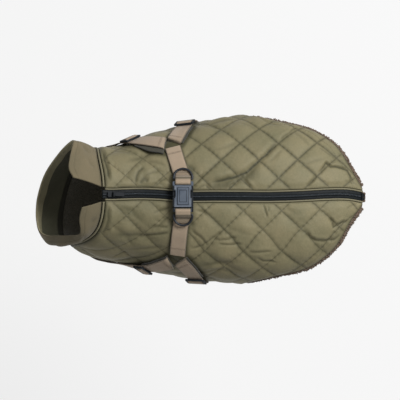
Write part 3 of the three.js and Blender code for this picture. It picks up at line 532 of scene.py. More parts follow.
def darker(s, color, amount, shade):
    """Multiplies a colour by a shade where the amount says so."""
    mix = s.node("ShaderNodeMix", data_type="RGBA", blend_type="MULTIPLY")
    s.tree.links.new(amount, mix.inputs["Factor"])
    s.tree.links.new(color, mix.inputs["A"])
    mix.inputs["B"].default_value = shade
    return mix.outputs["Result"]


# Painted shade: darkens a colour by the shade number stored at each point.
def in_painted_shade(s, color):
    depth = s.node("ShaderNodeAttribute", attribute_name="painted_shade").outputs["Fac"]
    return darker(s, color, depth, HOLLOW_SHADE)


def cloth_material(
    name, color, thread, dye, patch, roughness, sheen, quilted=False, depth=0.00012, shine=0.3
):
    """Cloth of threads of a width in metres, dyed unevenly in patches, and with painted shade in its
    hollows.
    """
    material, s, shader = new_material(name)
    place = s.node("ShaderNodeUVMap", uv_map="cloth").outputs["UV"]
    dyed = placed(s, DYE, {"Place": place, "Color": color, "Amount": dye, "Patch": patch})
    weave = placed(s, WEAVE, {"Place": place, "Thread width": thread})
    crumple = s.node(
        "ShaderNodeTexNoise", {"Vector": place, "Scale": 45.0, "Detail": 3.0, "Distortion": 0.8}
    )
    tint = in_painted_shade(s, dyed.outputs["Color"])
    heights = [(crumple.outputs["Fac"], 0.002, 0.5)]
    if quilted:
        lines = placed(s, QUILTING, {"Place": place})
        # Painted shade in the needle holes along the quilting lines.
        tint = darker(s, tint, s.math("MULTIPLY", lines.outputs["Line"], 0.45), NEEDLE_SHADE)
        heights.append((lines.outputs["Height"], 0.0007, 0.45))
    heights.append((weave.outputs["Height"], depth, 0.5))
    s.tree.links.new(tint, shader.inputs["Base Color"])
    raised(s, shader, heights)
    shader.inputs["Roughness"].default_value = roughness
    shader.inputs["Sheen Weight"].default_value = sheen
    shader.inputs["Sheen Roughness"].default_value = 0.5
    shader.inputs["Specular IOR Level"].default_value = shine
    return material


def fleece_material(name, color):
    material, s, shader = new_material(name)
    place = s.node("ShaderNodeUVMap", uv_map="cloth").outputs["UV"]
    dyed = placed(s, DYE, {"Place": place, "Color": color, "Amount": 0.5, "Patch": 0.008})
    curls = s.node("ShaderNodeTexVoronoi", {"Vector": place, "Scale": 420.0})
    fuzz = s.node("ShaderNodeTexNoise", {"Vector": place, "Scale": 900.0, "Detail": 3.0})
    s.tree.links.new(dyed.outputs["Color"], shader.inputs["Base Color"])
    raised(s, shader, [(curls.outputs["Distance"], 0.0012, 0.8), (fuzz.outputs["Fac"], 0.0006, 0.7)])
    shader.inputs["Roughness"].default_value = 0.95
    shader.inputs["Sheen Weight"].default_value = 0.3
    return material


def webbing_material(name, color, edge):
    """Webbing has fine ribs across it and is a little darker along its edges."""
    material, s, shader = new_material(name)
    place = s.node("ShaderNodeUVMap", uv_map="cloth").outputs["UV"]
    parts = s.node("ShaderNodeSeparateXYZ", {0: place})
    dyed = placed(s, DYE, {"Place": place, "Color": color, "Amount": 0.14, "Patch": 0.01})
    rib = s.math("SINE", s.math("MULTIPLY", parts.outputs["Y"], math.pi / 0.0008))
    from_middle = s.math("ABSOLUTE", parts.outputs["X"])
    slanted = s.math("ADD", from_middle, parts.outputs["Y"])
    twill = s.math("SINE", s.math("MULTIPLY", slanted, math.pi / 0.0011))
    near_edge = s.math("GREATER_THAN", from_middle, 0.0113)
    mix = s.node("ShaderNodeMix", data_type="RGBA")
    s.tree.links.new(near_edge, mix.inputs["Factor"])
    s.tree.links.new(dyed.outputs["Color"], mix.inputs["A"])
    mix.inputs["B"].default_value = edge
    s.tree.links.new(in_painted_shade(s, mix.outputs["Result"]), shader.inputs["Base Color"])
    raised(s, shader, [(twill, 0.00025, 0.6), (rib, 0.0002, 0.5)])
    shader.inputs["Roughness"].default_value = 0.8
    shader.inputs["Sheen Weight"].default_value = 0.15
    return material


def moulded_material(name, color, roughness, metallic=0.0, shine=0.5):
    """Moulded plastic or coated metal: a very fine grain, and colour and roughness that vary in small
    patches.
    """
    material, s, shader = new_material(name)
    place = s.node("ShaderNodeTexCoord").outputs["Object"]
    dyed = placed(s, DYE, {"Place": place, "Color": color, "Amount": 0.16, "Patch": 0.006})
    specks = s.node("ShaderNodeTexNoise", {"Vector": place, "Scale": 2600.0, "Detail": 2.0})
    s.tree.links.new(dyed.outputs["Color"], shader.inputs["Base Color"])
    rough = s.math("ADD", roughness - 0.06, s.math("MULTIPLY", dyed.outputs["Patches"], 0.12))
    s.tree.links.new(rough, shader.inputs["Roughness"])
    raised(s, shader, [(specks.outputs["Fac"], 0.00003, 0.6)])
    shader.inputs["Metallic"].default_value = metallic
    shader.inputs["Specular IOR Level"].default_value = shine
    return material


OLIVE = srgb(108, 102, 77)
SHELL = cloth_material("quilted_nylon", OLIVE, 0.0006, 0.56, 0.04, 0.58, 0.03, quilted=True, shine=0.2)
LINING = fleece_material("fleece_lining", srgb(78, 74, 60))
FLEECE = fleece_material("brown_fleece", srgb(84, 67, 51))
SOFT = cloth_material("soft_cloth", srgb(100, 91, 70), 0.0008, 0.34, 0.03, 0.85, 0.06, depth=0.0002)
COLLAR_LINING = cloth_material(
    "collar_lining", srgb(82, 81, 66), 0.0012, 0.2, 0.02, 0.95, 0.05, depth=0.0004
)
# The facing is a paler copy of the collar cloth: its paleness is painted light inside the rim.
FACING_PAINTED_LIGHT = cloth_material("collar_facing_painted_light", srgb(148, 141, 112), 0.0008, 0.14, 0.03, 0.9, 0.08, depth=0.0002)
PIPING = cloth_material("piping_cloth", srgb(105, 100, 79), 0.0007, 0.1, 0.03, 0.7, 0.03)
# The strips that close the seams are dark as painted shade in the seam gaps.
SEAM_STRIP_IN_SHADE = cloth_material("seam_strip_painted_shade", srgb(46, 45, 36), 0.0007, 0.1, 0.03, 0.8, 0.0)
TAPE_CLOTH = cloth_material("zip_tape_cloth", srgb(14, 18, 20), 0.0007, 0.15, 0.03, 0.5, 0.0, shine=0.12)
THREAD = cloth_material("olive_thread", srgb(84, 80, 62), 0.0003, 0.1, 0.01, 0.7, 0.05)
TAUPE_THREAD = cloth_material("taupe_thread", srgb(96, 84, 70), 0.0003, 0.1, 0.01, 0.7, 0.05)
WEBBING_CLOTH = webbing_material("taupe_webbing", srgb(142, 125, 105), srgb(104, 92, 77))
# The returns lie under the straps' edges and are coloured dark as painted shade under the straps.
RETURN_WEBBING_IN_SHADE = webbing_material("dark_webbing", srgb(54, 52, 42), srgb(36, 35, 29))
PLASTIC = moulded_material("blue_grey_plastic", srgb(62, 71, 83), 0.45)
DARK_PLASTIC = moulded_material("dark_plastic", srgb(20, 24, 28), 0.62, shine=0.16)
STEEL = moulded_material("coated_steel", srgb(28, 32, 38), 0.45, 0.3, shine=0.35)
TEETH = moulded_material("zip_coil", srgb(46, 54, 62), 0.42)
print("materials:", len(bpy.data.materials))

# %% [markdown]
# ## Where the straps run
# The harness is flat nylon webbing, 25 mm wide, that crosses the back at the buckle and goes round
# the chest and behind the front legs. Each strap is a table of places on the body: along the back,
# degrees round from the spine, and height. The tables come first because the straps press the
# padding down where they lie on it.

# %% Strap tables
WEB_WIDTH, WEB_THICK = 25, 1.8
CAD_PUFF = 3.4
LIFT = WALL + CAD_PUFF + 0.4
LAYER = WEB_THICK + GAP
BELLY_LIFT = WALL + 0.8
STRAPS = {
    "centre_strap_right": [(-2, 12.5, LIFT), (-6, 20, LIFT), (-10, 28, LIFT), (-14, 39, LIFT + 1)],
    "centre_strap_left": [(-2, -14.5, LIFT), (-4, -25, LIFT), (-5, -36, LIFT), (-5, -48, LIFT + 1)],
    "chest_strap": [
        (-26, 44.6, LIFT + LAYER + 0.6),
        (-41, 49.5, LIFT + LAYER + 1),
        (-55, 56.5, LIFT + LAYER + 1),
        (-69, 67.5, LIFT + LAYER),
        (-79, 87, LIFT + 0.4),
        (-86, 101, LIFT + 0.4),
        (-92, 117, BELLY_LIFT + 1),
        (-100, 145, BELLY_LIFT),
        (-103, 180, BELLY_LIFT),
        (-99, 215, BELLY_LIFT),
        (-87, 244, BELLY_LIFT + 1),
        (-68, 264, LIFT - 1),
        (-45, 277, LIFT + LAYER),
        (-27, 291, LIFT + LAYER + 1),
        (-14, 301, LIFT + LAYER + 1),
    ],
    "girth_strap": [
        (-9.6, 47, LIFT + LAYER + 0.6),
        (-3, 55, LIFT + LAYER + 0.3),
        (9, 70.5, LIFT + LAYER + 0.2),
        (19, 95, LIFT),
        (26, 118, BELLY_LIFT + 1),
        (29, 145, BELLY_LIFT),
        (31, 180, BELLY_LIFT),
        (32, 215, BELLY_LIFT),
        (33, 242, BELLY_LIFT + 1),
        (31, 265, LIFT),
        (25, 281, LIFT + LAYER),
        (13.6, 296, LIFT + LAYER),
        (1.5, 305, LIFT + LAYER + 0.6),
    ],
    "return_front_right": [(-28, 40, LIFT), (-46, 46, LIFT), (-60, 58, LIFT)],
    "return_rear_right": [(-8, 46, LIFT), (0, 55, LIFT), (9.5, 67, LIFT)],
    "return_front_left": [(-16.5, -59, LIFT + 0.4), (-29.5, -69, LIFT + 0.4), (-42, -80, LIFT)],
    "return_rear_left": [(4, -54.5, LIFT), (15.3, -63, LIFT), (25, -75, LIFT)],
}
# Straps that meet another at a slant: how far each corner of an end reaches past the square cut,
# first the corner on the strap's right, then the one on its left, at its start and at its end
SLANTED_ENDS = {
    "chest_strap": ((-0.6, 6.4), (-4.5, 7.6)),
    "girth_strap": ((7, 0), (7, 0)),
    "return_front_right": ((0, 4.4), (0, 0)),
    "return_front_left": ((7, 0), (0, 0)),
    "return_rear_left": ((0, 5.6), (0, 0)),
}


def strap_course(rows, count=60):
    """Places along and around the cloth that a strap's middle passes over."""
    rows = np.array(rows, float)
    stops = np.arange(len(rows))
    at = np.linspace(0, len(rows) - 1, count)
    along, turn = through(stops, rows[:, 0])(at), through(stops, rows[:, 1])(at)
    turn = np.where(turn > 180, turn - 360, turn)
    right, left = length_at(along, turn, 1), length_at(along, turn, -1)
    return np.stack([along, np.where(turn > 0, right, -left)], -1)


def beside_path(along, around, path):
    """Distance to a row of places on the cloth, the side of it as 1 or -1, and how far along it."""
    path = np.asarray(path, float)
    run = steps_along(path)
    nearest = np.full(np.shape(along), 1e9)
    side, at = np.zeros(np.shape(along)), np.zeros(np.shape(along))
    for start, stop, begun, ended in zip(path[:-1], path[1:], run[:-1], run[1:]):
        ahead = (stop - start) / (ended - begun)
        x, y = along - start[0], around - start[1]
        passed = np.clip(x * ahead[0] + y * ahead[1], 0, ended - begun)
        off = np.hypot(x - passed * ahead[0], y - passed * ahead[1])
        closer = off < nearest
        nearest = np.where(closer, off, nearest)
        side = np.where(closer, np.sign(ahead[0] * y - ahead[1] * x), side)
        at = np.where(closer, begun + passed, at)
    return nearest, side, at


def both_sides(course):
    """Parts a course where it crosses under the body from one side to the other."""
    crossing = np.where(np.abs(np.diff(course[:, 1])) > WEB_WIDTH * 4)[0] + 1
    return [part for part in np.split(course, crossing) if len(part) > 1]


strap_courses = []
for rows in STRAPS.values():
    strap_courses += both_sides(strap_course(rows, 8 * len(rows)))
PRESS_REACH = 7  # the padding rises again over this width beside a strap


def from_strap(along, around):
    """Distance from the nearest strap's edge, less than 0 under it."""
    off = [beside_path(along, around, course)[0] for course in strap_courses]
    return np.minimum.reduce(off) - WEB_WIDTH / 2


def pressed(along, around):
    """How hard a strap presses on the cloth, from 0 to 1."""
    return 1 - smooth((from_strap(along, around) - 1) / PRESS_REACH)


print("straps:", len(STRAPS))

# %% [markdown]
# ## Quilted shell
# Each half of the back is one quilted panel: nylon and padding sewn to a fleece lining along a
# lattice of diamonds. The panel is a fine grid. Its inner face stays smooth, and its outer face
# rises between the stitch lines. The lines are narrow valleys, because thread pulls the layers
# together. Folds are placed one by one: a soft trough with a low ridge beside it, since cloth that
# is pushed together has to go somewhere. Sharp creases follow a crooked path in the same way. Both
# get painted shade at the bottom, through a number stored at each point. A cloth simulation would
# lose the crisp stitch lines, and would fold the coat in other places than these.

# %% Quilting and folds
ZIP_TAPE_HALF = 6.6
PIPING_RADIUS = 1.3
ZIP_EDGE = ZIP_TAPE_HALF + 2 * PIPING_RADIUS + 2 * GAP
PUFF = 3.6
VALLEY = 0.62  # exponent of the puff's profile: more makes the valleys wider
QUILT_ALONG, QUILT_AROUND = 61, 58
EDGE_FADE = 11
HEM_ROUND = 2.0
LINE_SPREAD = 2.6  # half width of the dark band along a stitch line
PRESSED_RISE = 2.9  # most that the padding rises under a strap
LOWEST_RISE = -1.4  # a fold bottoms out here, before it meets the inner face
FOLD_WANDER = 1.6
CREASE_DEPTH, CREASE_WANDER = 3.2, 1.3
RIDGE_BESIDE = 1.9  # a ridge stands this many widths beside its trough
LEFT_LINE_SHADE_SHARE = 0.6  # on the left half one set of stitch lines gets less painted shade
HEM_SHADE, ZIP_SHADE, NECK_SHADE, STRAP_SHADE = 3.0, 1.2, 3.4, 3.0  # reach of the painted shade beside an edge
HARD_HALF, HARD_REACH, HARD_SHADE = 13.0, 42.0, 7.0  # the buckle with its rings, and reach of its painted shade
SEAM_DARK, NECK_DARK, STRAP_DARK, HARD_DARK = 0.85, 0.8, 0.75, 0.75  # painted shade right beside them
LINE_DARK, LINE_DARKER_BEHIND, LINE_UNEVEN = 0.22, 0.28, 0.16  # painted shade of stitch lines, more behind harness
FRONT_LEFT_SHADE, STRAP_LEFT_SHADE = 0.11, 0.13  # the left side is turned a little from the light
STATION_STEP, SHARE_STEP = 1.5, 0.0085  # spacing of a panel's grid along the back and down its width

# One soft fold in each row: its middle (along, around), heading in degrees, length, width, depth, ridge
FOLDS = [
    (205, 51, 11, 48, 4, 0.9, 0.5),
    (148, 64, 36, 39, 4, 1.0, 0.6),
    (71, 82, 22, 54, 5, 1.0, 0.6),
    (106, 121, -28, 58, 5, 0.9, 0.5),
    (-84, 71, -30, 55, 5, 1.0, 0.7),
    (-60, 75, -33, 89, 4.6, 1.4, 0.9),
    (-46, 50, -12, 51, 4, 1.2, 0.7),
    (-46, 33, 16, 35, 3.2, 1.6, 0.9),
    (-32, -23, -151, 40, 3.0, 2.0, 1.0),
    (-30, -43, -133, 40, 3.2, 1.8, 0.9),
    (29, -25, -34, 33, 3.0, 1.8, 0.9),
    (29, 14, 17, 29, 2.8, 2.0, 1.0),
    (26, 31, 45, 29, 3.0, 1.8, 0.9),
    (-31, 13, 160, 32, 2.8, 1.8, 0.9),
    (-90, -65, -47, 77, 5, 1.2, 0.8),
    (-76, -34, -32, 74, 5, 1.0, 0.7),
    (-50, -89, 16, 65, 4, 1.2, 0.8),
    (76, -114, -18, 65, 5, 1.2, 0.8),
    (88, -54, -11, 55, 5, 0.8, 0.5),
    (170, -21, -27, 43, 4.5, 0.8, 0.5),
    (268, 18, -19, 30, 3.0, 1.2, 0.6),
    (268, -18, 21, 24, 3.0, 1.2, 0.6),
    (188, 96, -43, 60, 5, 0.9, 0.5),
    (-60, 62, 20, 70, 7, 1.8, 0.8),
    (-72, -66, -8, 74, 7, 1.8, 0.8),
    (60, -108, 5, 80, 6, 1.8, 0.8),
    (10, -138, 25, 80, 7, 2.2, 1.0),
    (-8, 140, -25, 80, 7, 2.2, 1.0),
    (60, 138, 12, 66, 6, 1.6, 0.8),
    (-70, 118, -30, 58, 5, 1.8, 0.9),
    (-66, -124, 34, 62, 5, 1.8, 0.9),
    (52, -150, -18, 54, 5, 1.5, 0.8),
    (44, 172, 24, 60, 5, 1.5, 0.8),
]
# One sharp crease in each row: how much shade is painted at its bottom (this also sets how deep it
# is), its width, and the places it runs through
CREASES = [
    (0.5, 13, [(34, 14), (68, 18), (100, 30), (122, 50)]),
    (1.0, 4.6, [
        (38, 19), (50, 22), (68, 26), (85, 32), (100, 39), (112, 48), (125, 60), (136, 72), (153, 94),
    ]),
    (0.5, 2.2, [(153, 94), (170, 109), (181, 126)]),
    (0.8, 2.6, [(71, 7), (80, 17), (91, 27), (102, 35)]),
    (0.8, 2.4, [(97, 26), (105, 17), (114, 7)]),
    (0.85, 2.6, [(36, 18), (42, 12), (50, 4)]),
    (0.9, 2.4, [(215, 32), (228, 49), (235, 43), (243, 43), (252, 41), (260, 38), (267, 25), (269, 13)]),
    (0.6, 2.2, [(215, 32), (196, 12)]),
    (0.35, 2.6, [(215, 80), (235, 63), (246, 53)]),
    (0.95, 3.0, [(-121, 80), (-120, 62), (-120, 50), (-119, 37), (-118, 22)]),
    (0.6, 3.8, [(-77, 16), (-75, 27), (-71, 34), (-61, 41)]),
    (0.6, 5.5, [(-70, 15), (-62, 24), (-54, 19)]),
    (0.75, 2.4, [(-110, 12), (-89, 11), (-63, 11), (-49, 12), (-34, 11)]),
    (0.6, 2.4, [(-45, 12), (-35, 21), (-26, 26)]),
    (0.42, 2.0, [(48, -69), (68, -67), (86, -65)]),
    (0.45, 2.0, [(54, -73), (72, -76), (96, -76)]),
    (0.4, 2.2, [(105, -87), (120, -89), (142, -86)]),
    (0.4, 2.2, [(116, -96), (128, -103), (150, -106)]),
    (0.6, 1.8, [(129, -12), (131, -23), (134, -34)]),
    (0.4, 1.6, [(135, -13), (136, -25)]),
    (0.6, 2.8, [(193, -52), (201, -65), (209, -72), (226, -75), (238, -72), (252, -62)]),
    (0.75, 2.2, [(232, -35), (238, -44), (240, -53), (252, -45), (262, -44)]),
    (0.5, 2.4, [(13, -82), (29, -79), (48, -65), (65, -54)]),
    (0.4, 2.4, [(12, -51), (26, -62), (43, -80)]),
    (0.5, 2.6, [(-62, -69), (-44, -64), (-18, -59)]),
    (0.4, 2.4, [(-52, -54), (-38, -51), (-21, -50)]),
    (0.5, 2.4, [(-88, -116), (-76, -102)]),
    (0.55, 3.4, [(-119, -17), (-119, -30), (-118, -49), (-117, -67)]),
    (0.3, 3.4, [(118, 150), (140, 128), (158, 124)]),
    (0.3, 3.4, [(20, 150), (38, 128), (62, 118)]),
    (0.3, 3.4, [(24, -136), (50, -122), (80, -126)]),
    (0.3, 3.4, [(-98, 98), (-78, 112), (-58, 108)]),
]
print("soft folds:", len(FOLDS), "sharp creases:", len(CREASES))


def hash_noise(i, j, seed):
    """A repeatable number from -1 to 1 for each cell."""
    return 2 * np.modf(np.abs(np.sin(i * 127.1 + j * 311.7 + seed * 74.7) * 43758.5453))[0] - 1


def soft_noise(x, y, size, seed):
    """Smooth random hills about size millimetres across."""
    x, y = x / size, y / size
    i, j = np.floor(x), np.floor(y)
    u, v = smooth(x - i), smooth(y - j)
    low = hash_noise(i, j, seed) * (1 - u) + hash_noise(i + 1, j, seed) * u
    high = hash_noise(i, j + 1, seed) * (1 - u) + hash_noise(i + 1, j + 1, seed) * u
    return low * (1 - v) + high * v


def lattice(along, around):
    """Where a place lies on the quilting pattern. The left half was cut a little off the right one."""
    behind = smooth((along + 40) / 60)
    near_zip = 1 - smooth((np.abs(around) - 58) / 29)
    shift_along = 1.5 + 3.5 * behind
    shift_around = 5 * (1 - behind) - 6 * behind * near_zip
    left = around < 0
    return np.where(left, along - shift_along, along), np.where(left, around + shift_around, around)


def lattice_lines(along, around):
    along, around = lattice(along, around)
    return along / QUILT_ALONG + around / QUILT_AROUND, along / QUILT_ALONG - around / QUILT_AROUND


def quilt_height(along, around):
    first, second = lattice_lines(along, around)
    off_first, off_second = np.abs(first - np.round(first)), np.abs(second - np.round(second))
    dome = (np.sin(np.pi * off_first) * np.sin(np.pi * off_second)) ** VALLEY
    fullness = 0.9 + 0.1 * hash_noise(np.floor(first), np.floor(second), 5)
    return PUFF * fullness * dome


def beside_fold(along, around, middle_along, middle_around, heading, length):
    """Distance from the winding line of a fold, and the share of the way from its ends to its middle."""
    angle = math.radians(heading)
    x, y = along - middle_along, around - middle_around
    lengthways = (x * math.cos(angle) + y * math.sin(angle)) / (length / 2)
    across = -x * math.sin(angle) + y * math.cos(angle)
    return across + FOLD_WANDER * np.sin(lengthways * 2.4 + middle_along), 1 - np.abs(lengthways)


def fold_height(along, around, folds):
    total = np.zeros(np.shape(along))
    for *line, width, depth, ridge in folds:
        across, inwards = beside_fold(along, around, *line)
        taper = smooth(inwards)
        total -= depth * bell(across, width) * taper
        total += ridge * bell(across - RIDGE_BESIDE * width, 1.5 * width) * taper
    return total


def fold_shade(along, around, folds):
    """The painted shade along the bottom of each fold, from 0 to 1."""
    deepest = np.zeros(np.shape(along))
    for *line, width, depth, _ in folds:
        across, inwards = beside_fold(along, around, *line)
        dark = bell(across, 0.55 * width) * smooth(1.7 * inwards)
        deepest = np.maximum(deepest, dark * min(depth / 3.4, 1))
    return deepest


def sharp_creases(along, around):
    """Height and painted shade of the sharp creases: a narrow trough with a low ridge on one side."""
    height, shade = np.zeros(np.shape(along)), np.zeros(np.shape(along))
    along = along + CREASE_WANDER * soft_noise(along, around, 10, 21)
    around = around + CREASE_WANDER * soft_noise(along, around, 10, 22)
    for darkness, width, places in CREASES:
        off, side, at = beside_path(along, around, places)
        length = steps_along(np.array(places, float))[-1]
        ends = smooth(0.15 + np.minimum(at, length - at) / (0.22 * length))
        depth = CREASE_DEPTH * darkness * ends
        height -= depth * bell(off, width)
        height += 0.45 * depth * bell(off * side - RIDGE_BESIDE * width, 1.4 * width)
        shade = np.maximum(shade, darkness * ends * bell(off, 0.6 * width))
    return height, shade


def quilted_rise(along, around):
    """How far the shell stands above the plain wall, away from its edges."""
    slack = 0.5 * soft_noise(along, around, 17, 3) + 0.25 * soft_noise(along, around, 7, 4)
    rise = quilt_height(along, around)
    folds = fold_height(along, around, FOLDS) + sharp_creases(along, around)[0]
    rise = np.maximum(rise + folds + slack * rise / PUFF, LOWEST_RISE)
    return rise - pressed(along, around) * np.maximum(rise - PRESSED_RISE, 0)


# %% The two halves of the back
def edged(start, stop, step, fine=(0.2, 0.6, 1.2, 2.0)):
    """Stations from start to stop, closer together at both ends where the hem rolls over."""
    inner = np.linspace(start + fine[-1], stop - fine[-1], max(2, int(round((stop - start) / step))))
    close = np.array(fine[:-1])
    return np.concatenate([[start], start + close, inner, stop - close[::-1], [stop]])


def outer_edge(along, side):
    """Length of cloth from the spine to the side seam, and behind it to the rear hem."""
    turn = np.where(along < BELLY_HEM, SIDE_SEAM_TURN, rear_hem_turn(along))
    return np.maximum(length_at(along, turn, side), ZIP_EDGE + 2.5)


def rolled(distance, radius=HEM_ROUND):
    """Share of the wall left at a distance from a hem: the edge is a half round."""
    return np.sqrt(1 - (1 - np.clip(distance / radius, 0, 1)) ** 2)


def panel_distance(along, around, side):
    """Distance to the nearest seam or hem of a back panel."""
    reach = outer_edge(along, side)
    slope = (outer_edge(along + 1, side) - outer_edge(along - 1, side)) / 2
    hem = (reach - np.abs(around)) / np.sqrt(1 + np.minimum(slope**2, 9))
    zip_side = np.abs(around) - ZIP_EDGE
    return np.minimum.reduce([hem, zip_side, along - BODY_START, TAIL_HEM - along])


def panel_lift(along, around, side):
    """How high the outer and the inner face of a panel lie above the body."""
    distance = panel_distance(along, around, side)
    rise = smooth(distance / EDGE_FADE) * quilted_rise(along, around)
    half = WALL / 2
    return half + half * rolled(distance) + rise, half - half * rolled(distance)


def quilt_line_shade(along, around):
    """Painted shade along the stitch lines."""
    shade = np.zeros(np.shape(along))
    weights = (1, np.where(around < 0, LEFT_LINE_SHADE_SHARE, 1))
    for phase, weight in zip(lattice_lines(along, around), weights):
        off = np.abs(phase - np.round(phase)) / math.hypot(1 / QUILT_ALONG, 1 / QUILT_AROUND)
        shade = np.maximum(shade, weight * bell(off, LINE_SPREAD))
    return shade


def panel_painted_shade(along, around, side):
    """How much shade is painted in the stitch lines, in the folds, beside the seams and straps, round the
    buckle and on the left front.
    """
    behind = smooth((along + 30) / 70)
    # All of these are painted shade; the left front is turned from the light.
    pull = LINE_DARK + LINE_DARKER_BEHIND * behind + LINE_UNEVEN * soft_noise(along, around, 34, 9)
    line = quilt_line_shade(along, around) * pull
    fold = np.maximum(0.8 * fold_shade(along, around, FOLDS), sharp_creases(along, around)[1])
    hem = panel_distance(along, around, side)
    zip_side = np.abs(around) - ZIP_EDGE
    reach = np.where(zip_side < hem + 0.01, ZIP_SHADE, HEM_SHADE)
    seam = SEAM_DARK * bell(hem, reach)
    neck = NECK_DARK * bell(along - BODY_START, NECK_SHADE)
    strap = STRAP_DARK * bell(np.maximum(from_strap(along, around), 0), STRAP_SHADE)
    beside = np.maximum(np.abs(along) - HARD_HALF, 0)
    past = np.maximum(np.abs(around) - HARD_REACH, 0)
    hard = HARD_DARK * bell(np.hypot(beside, past), HARD_SHADE)
    whole = FRONT_LEFT_SHADE * (side < 0) * smooth((5 - along) / 40)
    dark = np.maximum.reduce([line * smooth(hem / 4), fold, seam, neck, strap, hard])
    return np.clip(dark + whole, 0, 1)


def back_panel(name, side):
    """One quilted half, with its width, length and area as cut."""
    stations = edged(BODY_START, TAIL_HEM, STATION_STEP)
    shares = edged(0, 1, SHARE_STEP, (0.0012, 0.004, 0.008))
    along = np.repeat(stations[:, None], len(shares), 1)
    reach = outer_edge(stations, side)[:, None]
    around = side * (ZIP_EDGE + (reach - ZIP_EDGE) * shares[None, :])
    turn = turn_at(along, around)
    outer_lift, inner_lift = panel_lift(along, around, side)
    normal = outward(along, turn)
    base = on_hoop(along, turn)
    outer = base + normal * outer_lift[..., None]
    inner = base + normal * inner_lift[..., None]
    uv = np.stack(lattice(along, around)[::-1], -1)
    piece = cloth_piece(name, outer, inner, uv, SHELL, LINING, panel_painted_shade(along, around, side))
    width, _, area = cut_size(base)
    size = (width, float(steps_along(base[:, 0])[-1]) * MM, area)
    print(name, "faces", len(piece.data.polygons), "width, length, area", [round(v, 4) for v in size])
    return piece, size


back_right, right_size = back_panel("back_right_quilted", 1)
back_left, left_size = back_panel("back_left_quilted", -1)

# %% [markdown]
# ## Chest and belly
# Under the dog the coat is a plain stretch cloth, joined to the quilting along two side seams, with
# a hole for each front leg. The holes are cut with a boolean from a fine grid, because a cut edge
# that follows a circle is hard to get from grid lines. Low folds run between the leg holes.

# %% Belly panel with leg holes
LEG_HOLE_ALONG, LEG_HOLE_TURN, LEG_HOLE_RADIUS = -38, 140, 36
BELLY_WALL = WALL - 0.9
BELLY_REACH = 95  # about half the belly's width, which turns degrees into millimetres
BELLY_FOLDS = [
    (-100, -40, 80, 60, 7, 1.2, 0.7),
    (-84, 46, 100, 56, 6, 1.1, 0.6),
    (-30, 6, 84, 90, 9, 1.4, 0.9),
    (10, -70, 30, 64, 7, 1.2, 0.8),
    (16, 66, -34, 70, 7, 1.3, 0.8),
    (52, -20, 78, 110, 10, 1.2, 0.7),
    (74, 40, 96, 80, 8, 1.0, 0.6),
    (-58, -96, 20, 46, 6, 1.0, 0.6),
    (-52, 98, -24, 50, 6, 1.0, 0.6),
]


def leg_hole_frame(side):
    """Centre of a leg hole and the three directions it is cut in."""
    turn = side * LEG_HOLE_TURN
    up = outward(LEG_HOLE_ALONG, turn)
    ahead = on_hoop(LEG_HOLE_ALONG + 1, turn) - on_hoop(LEG_HOLE_ALONG - 1, turn)
    ahead = unit(ahead - up * np.dot(ahead, up))
    return on_hoop(LEG_HOLE_ALONG, turn), up, ahead, np.cross(up, ahead)


def leg_hole_circle(radius, angle, ahead, across):
    return radius * (np.cos(angle)[:, None] * ahead + np.sin(angle)[:, None] * across)


def leg_hole_cutter(side):
    centre, up, ahead, across = leg_hole_frame(side)
    angle = np.linspace(0, 2 * np.pi, 96, endpoint=False)
    circle = leg_hole_circle(LEG_HOLE_RADIUS, angle, ahead, across)
    sections = np.stack([centre + circle - 30 * up, centre + circle + 30 * up])
    return sweep("leg_hole_cutter", sections, SOFT)


def belly_around(turn):
    return np.radians(turn - 180) * BELLY_REACH


def belly_lift(along, turn):
    around = belly_around(turn)
    ripple = 0.35 * soft_noise(along, around, 26, 8)
    fold = fold_height(along, around, BELLY_FOLDS)
    return BELLY_WALL + ripple + np.maximum(fold, -1.0)


def belly_panel():
    stations = edged(BODY_START, BELLY_HEM, 2.2)
    seam = SIDE_SEAM_TURN + 0.35
    turns = edged(seam, 360 - seam, 1.1, (0.1, 0.35, 0.7, 1.2))
    along, turn = np.meshgrid(stations, turns, indexing="ij")
    from_side = np.minimum(turn - seam, 360 - seam - turn) * 1.7
    distance = np.minimum.reduce([from_side, along - BODY_START, BELLY_HEM - along])
    share = rolled(distance)
    top = belly_lift(along, turn)
    normal, base = outward(along, turn), on_hoop(along, turn)
    outer = base + normal * (top / 2 + top / 2 * share)[..., None]
    inner = base + normal * (top / 2 - (top / 2 - 0.3) * share)[..., None]
    piece = cloth_piece("belly_cloth", outer, inner, np.stack([belly_around(turn), along], -1), SOFT, LINING)
    for side in (1, -1):
        cutter = leg_hole_cutter(side)
        cut = piece.modifiers.new("leg_hole", "BOOLEAN")
        cut.operation, cut.object, cut.solver = "DIFFERENCE", cutter, "EXACT"
        settled(piece)
        bpy.data.objects.remove(cutter)
    width, length, area = cut_size(base)
    return piece, (width, length, area - 2 * math.pi * (LEG_HOLE_RADIUS * MM) ** 2)


belly, belly_size = belly_panel()
print("belly faces", len(belly.data.polygons), "width, length, area", [round(v, 4) for v in belly_size])

# %% [markdown]
# ## Stand collar
# The collar is one soft band that stands up from the neck seam and falls open at the zip, so it is
# drawn between two lines: the seam on the body, and the rim, which has its own table of places.
# It bows out a little between them. Its inside shows a facing near the rim, painted paler than the outer
# cloth as the light that reaches it.

# %% Collar
NECK_PIPING_RADIUS = 1.8
COLLAR_WALL = 3
COLLAR_SEAM = NECK_SEAM - NECK_PIPING_RADIUS - 5 * GAP
RIM_STITCH = 9  # distance of the hem's stitches from the rim
TURN_SIZE, HEIGHT_SIZE = 1.35, 80  # millimetres for a degree round the collar, and for its height
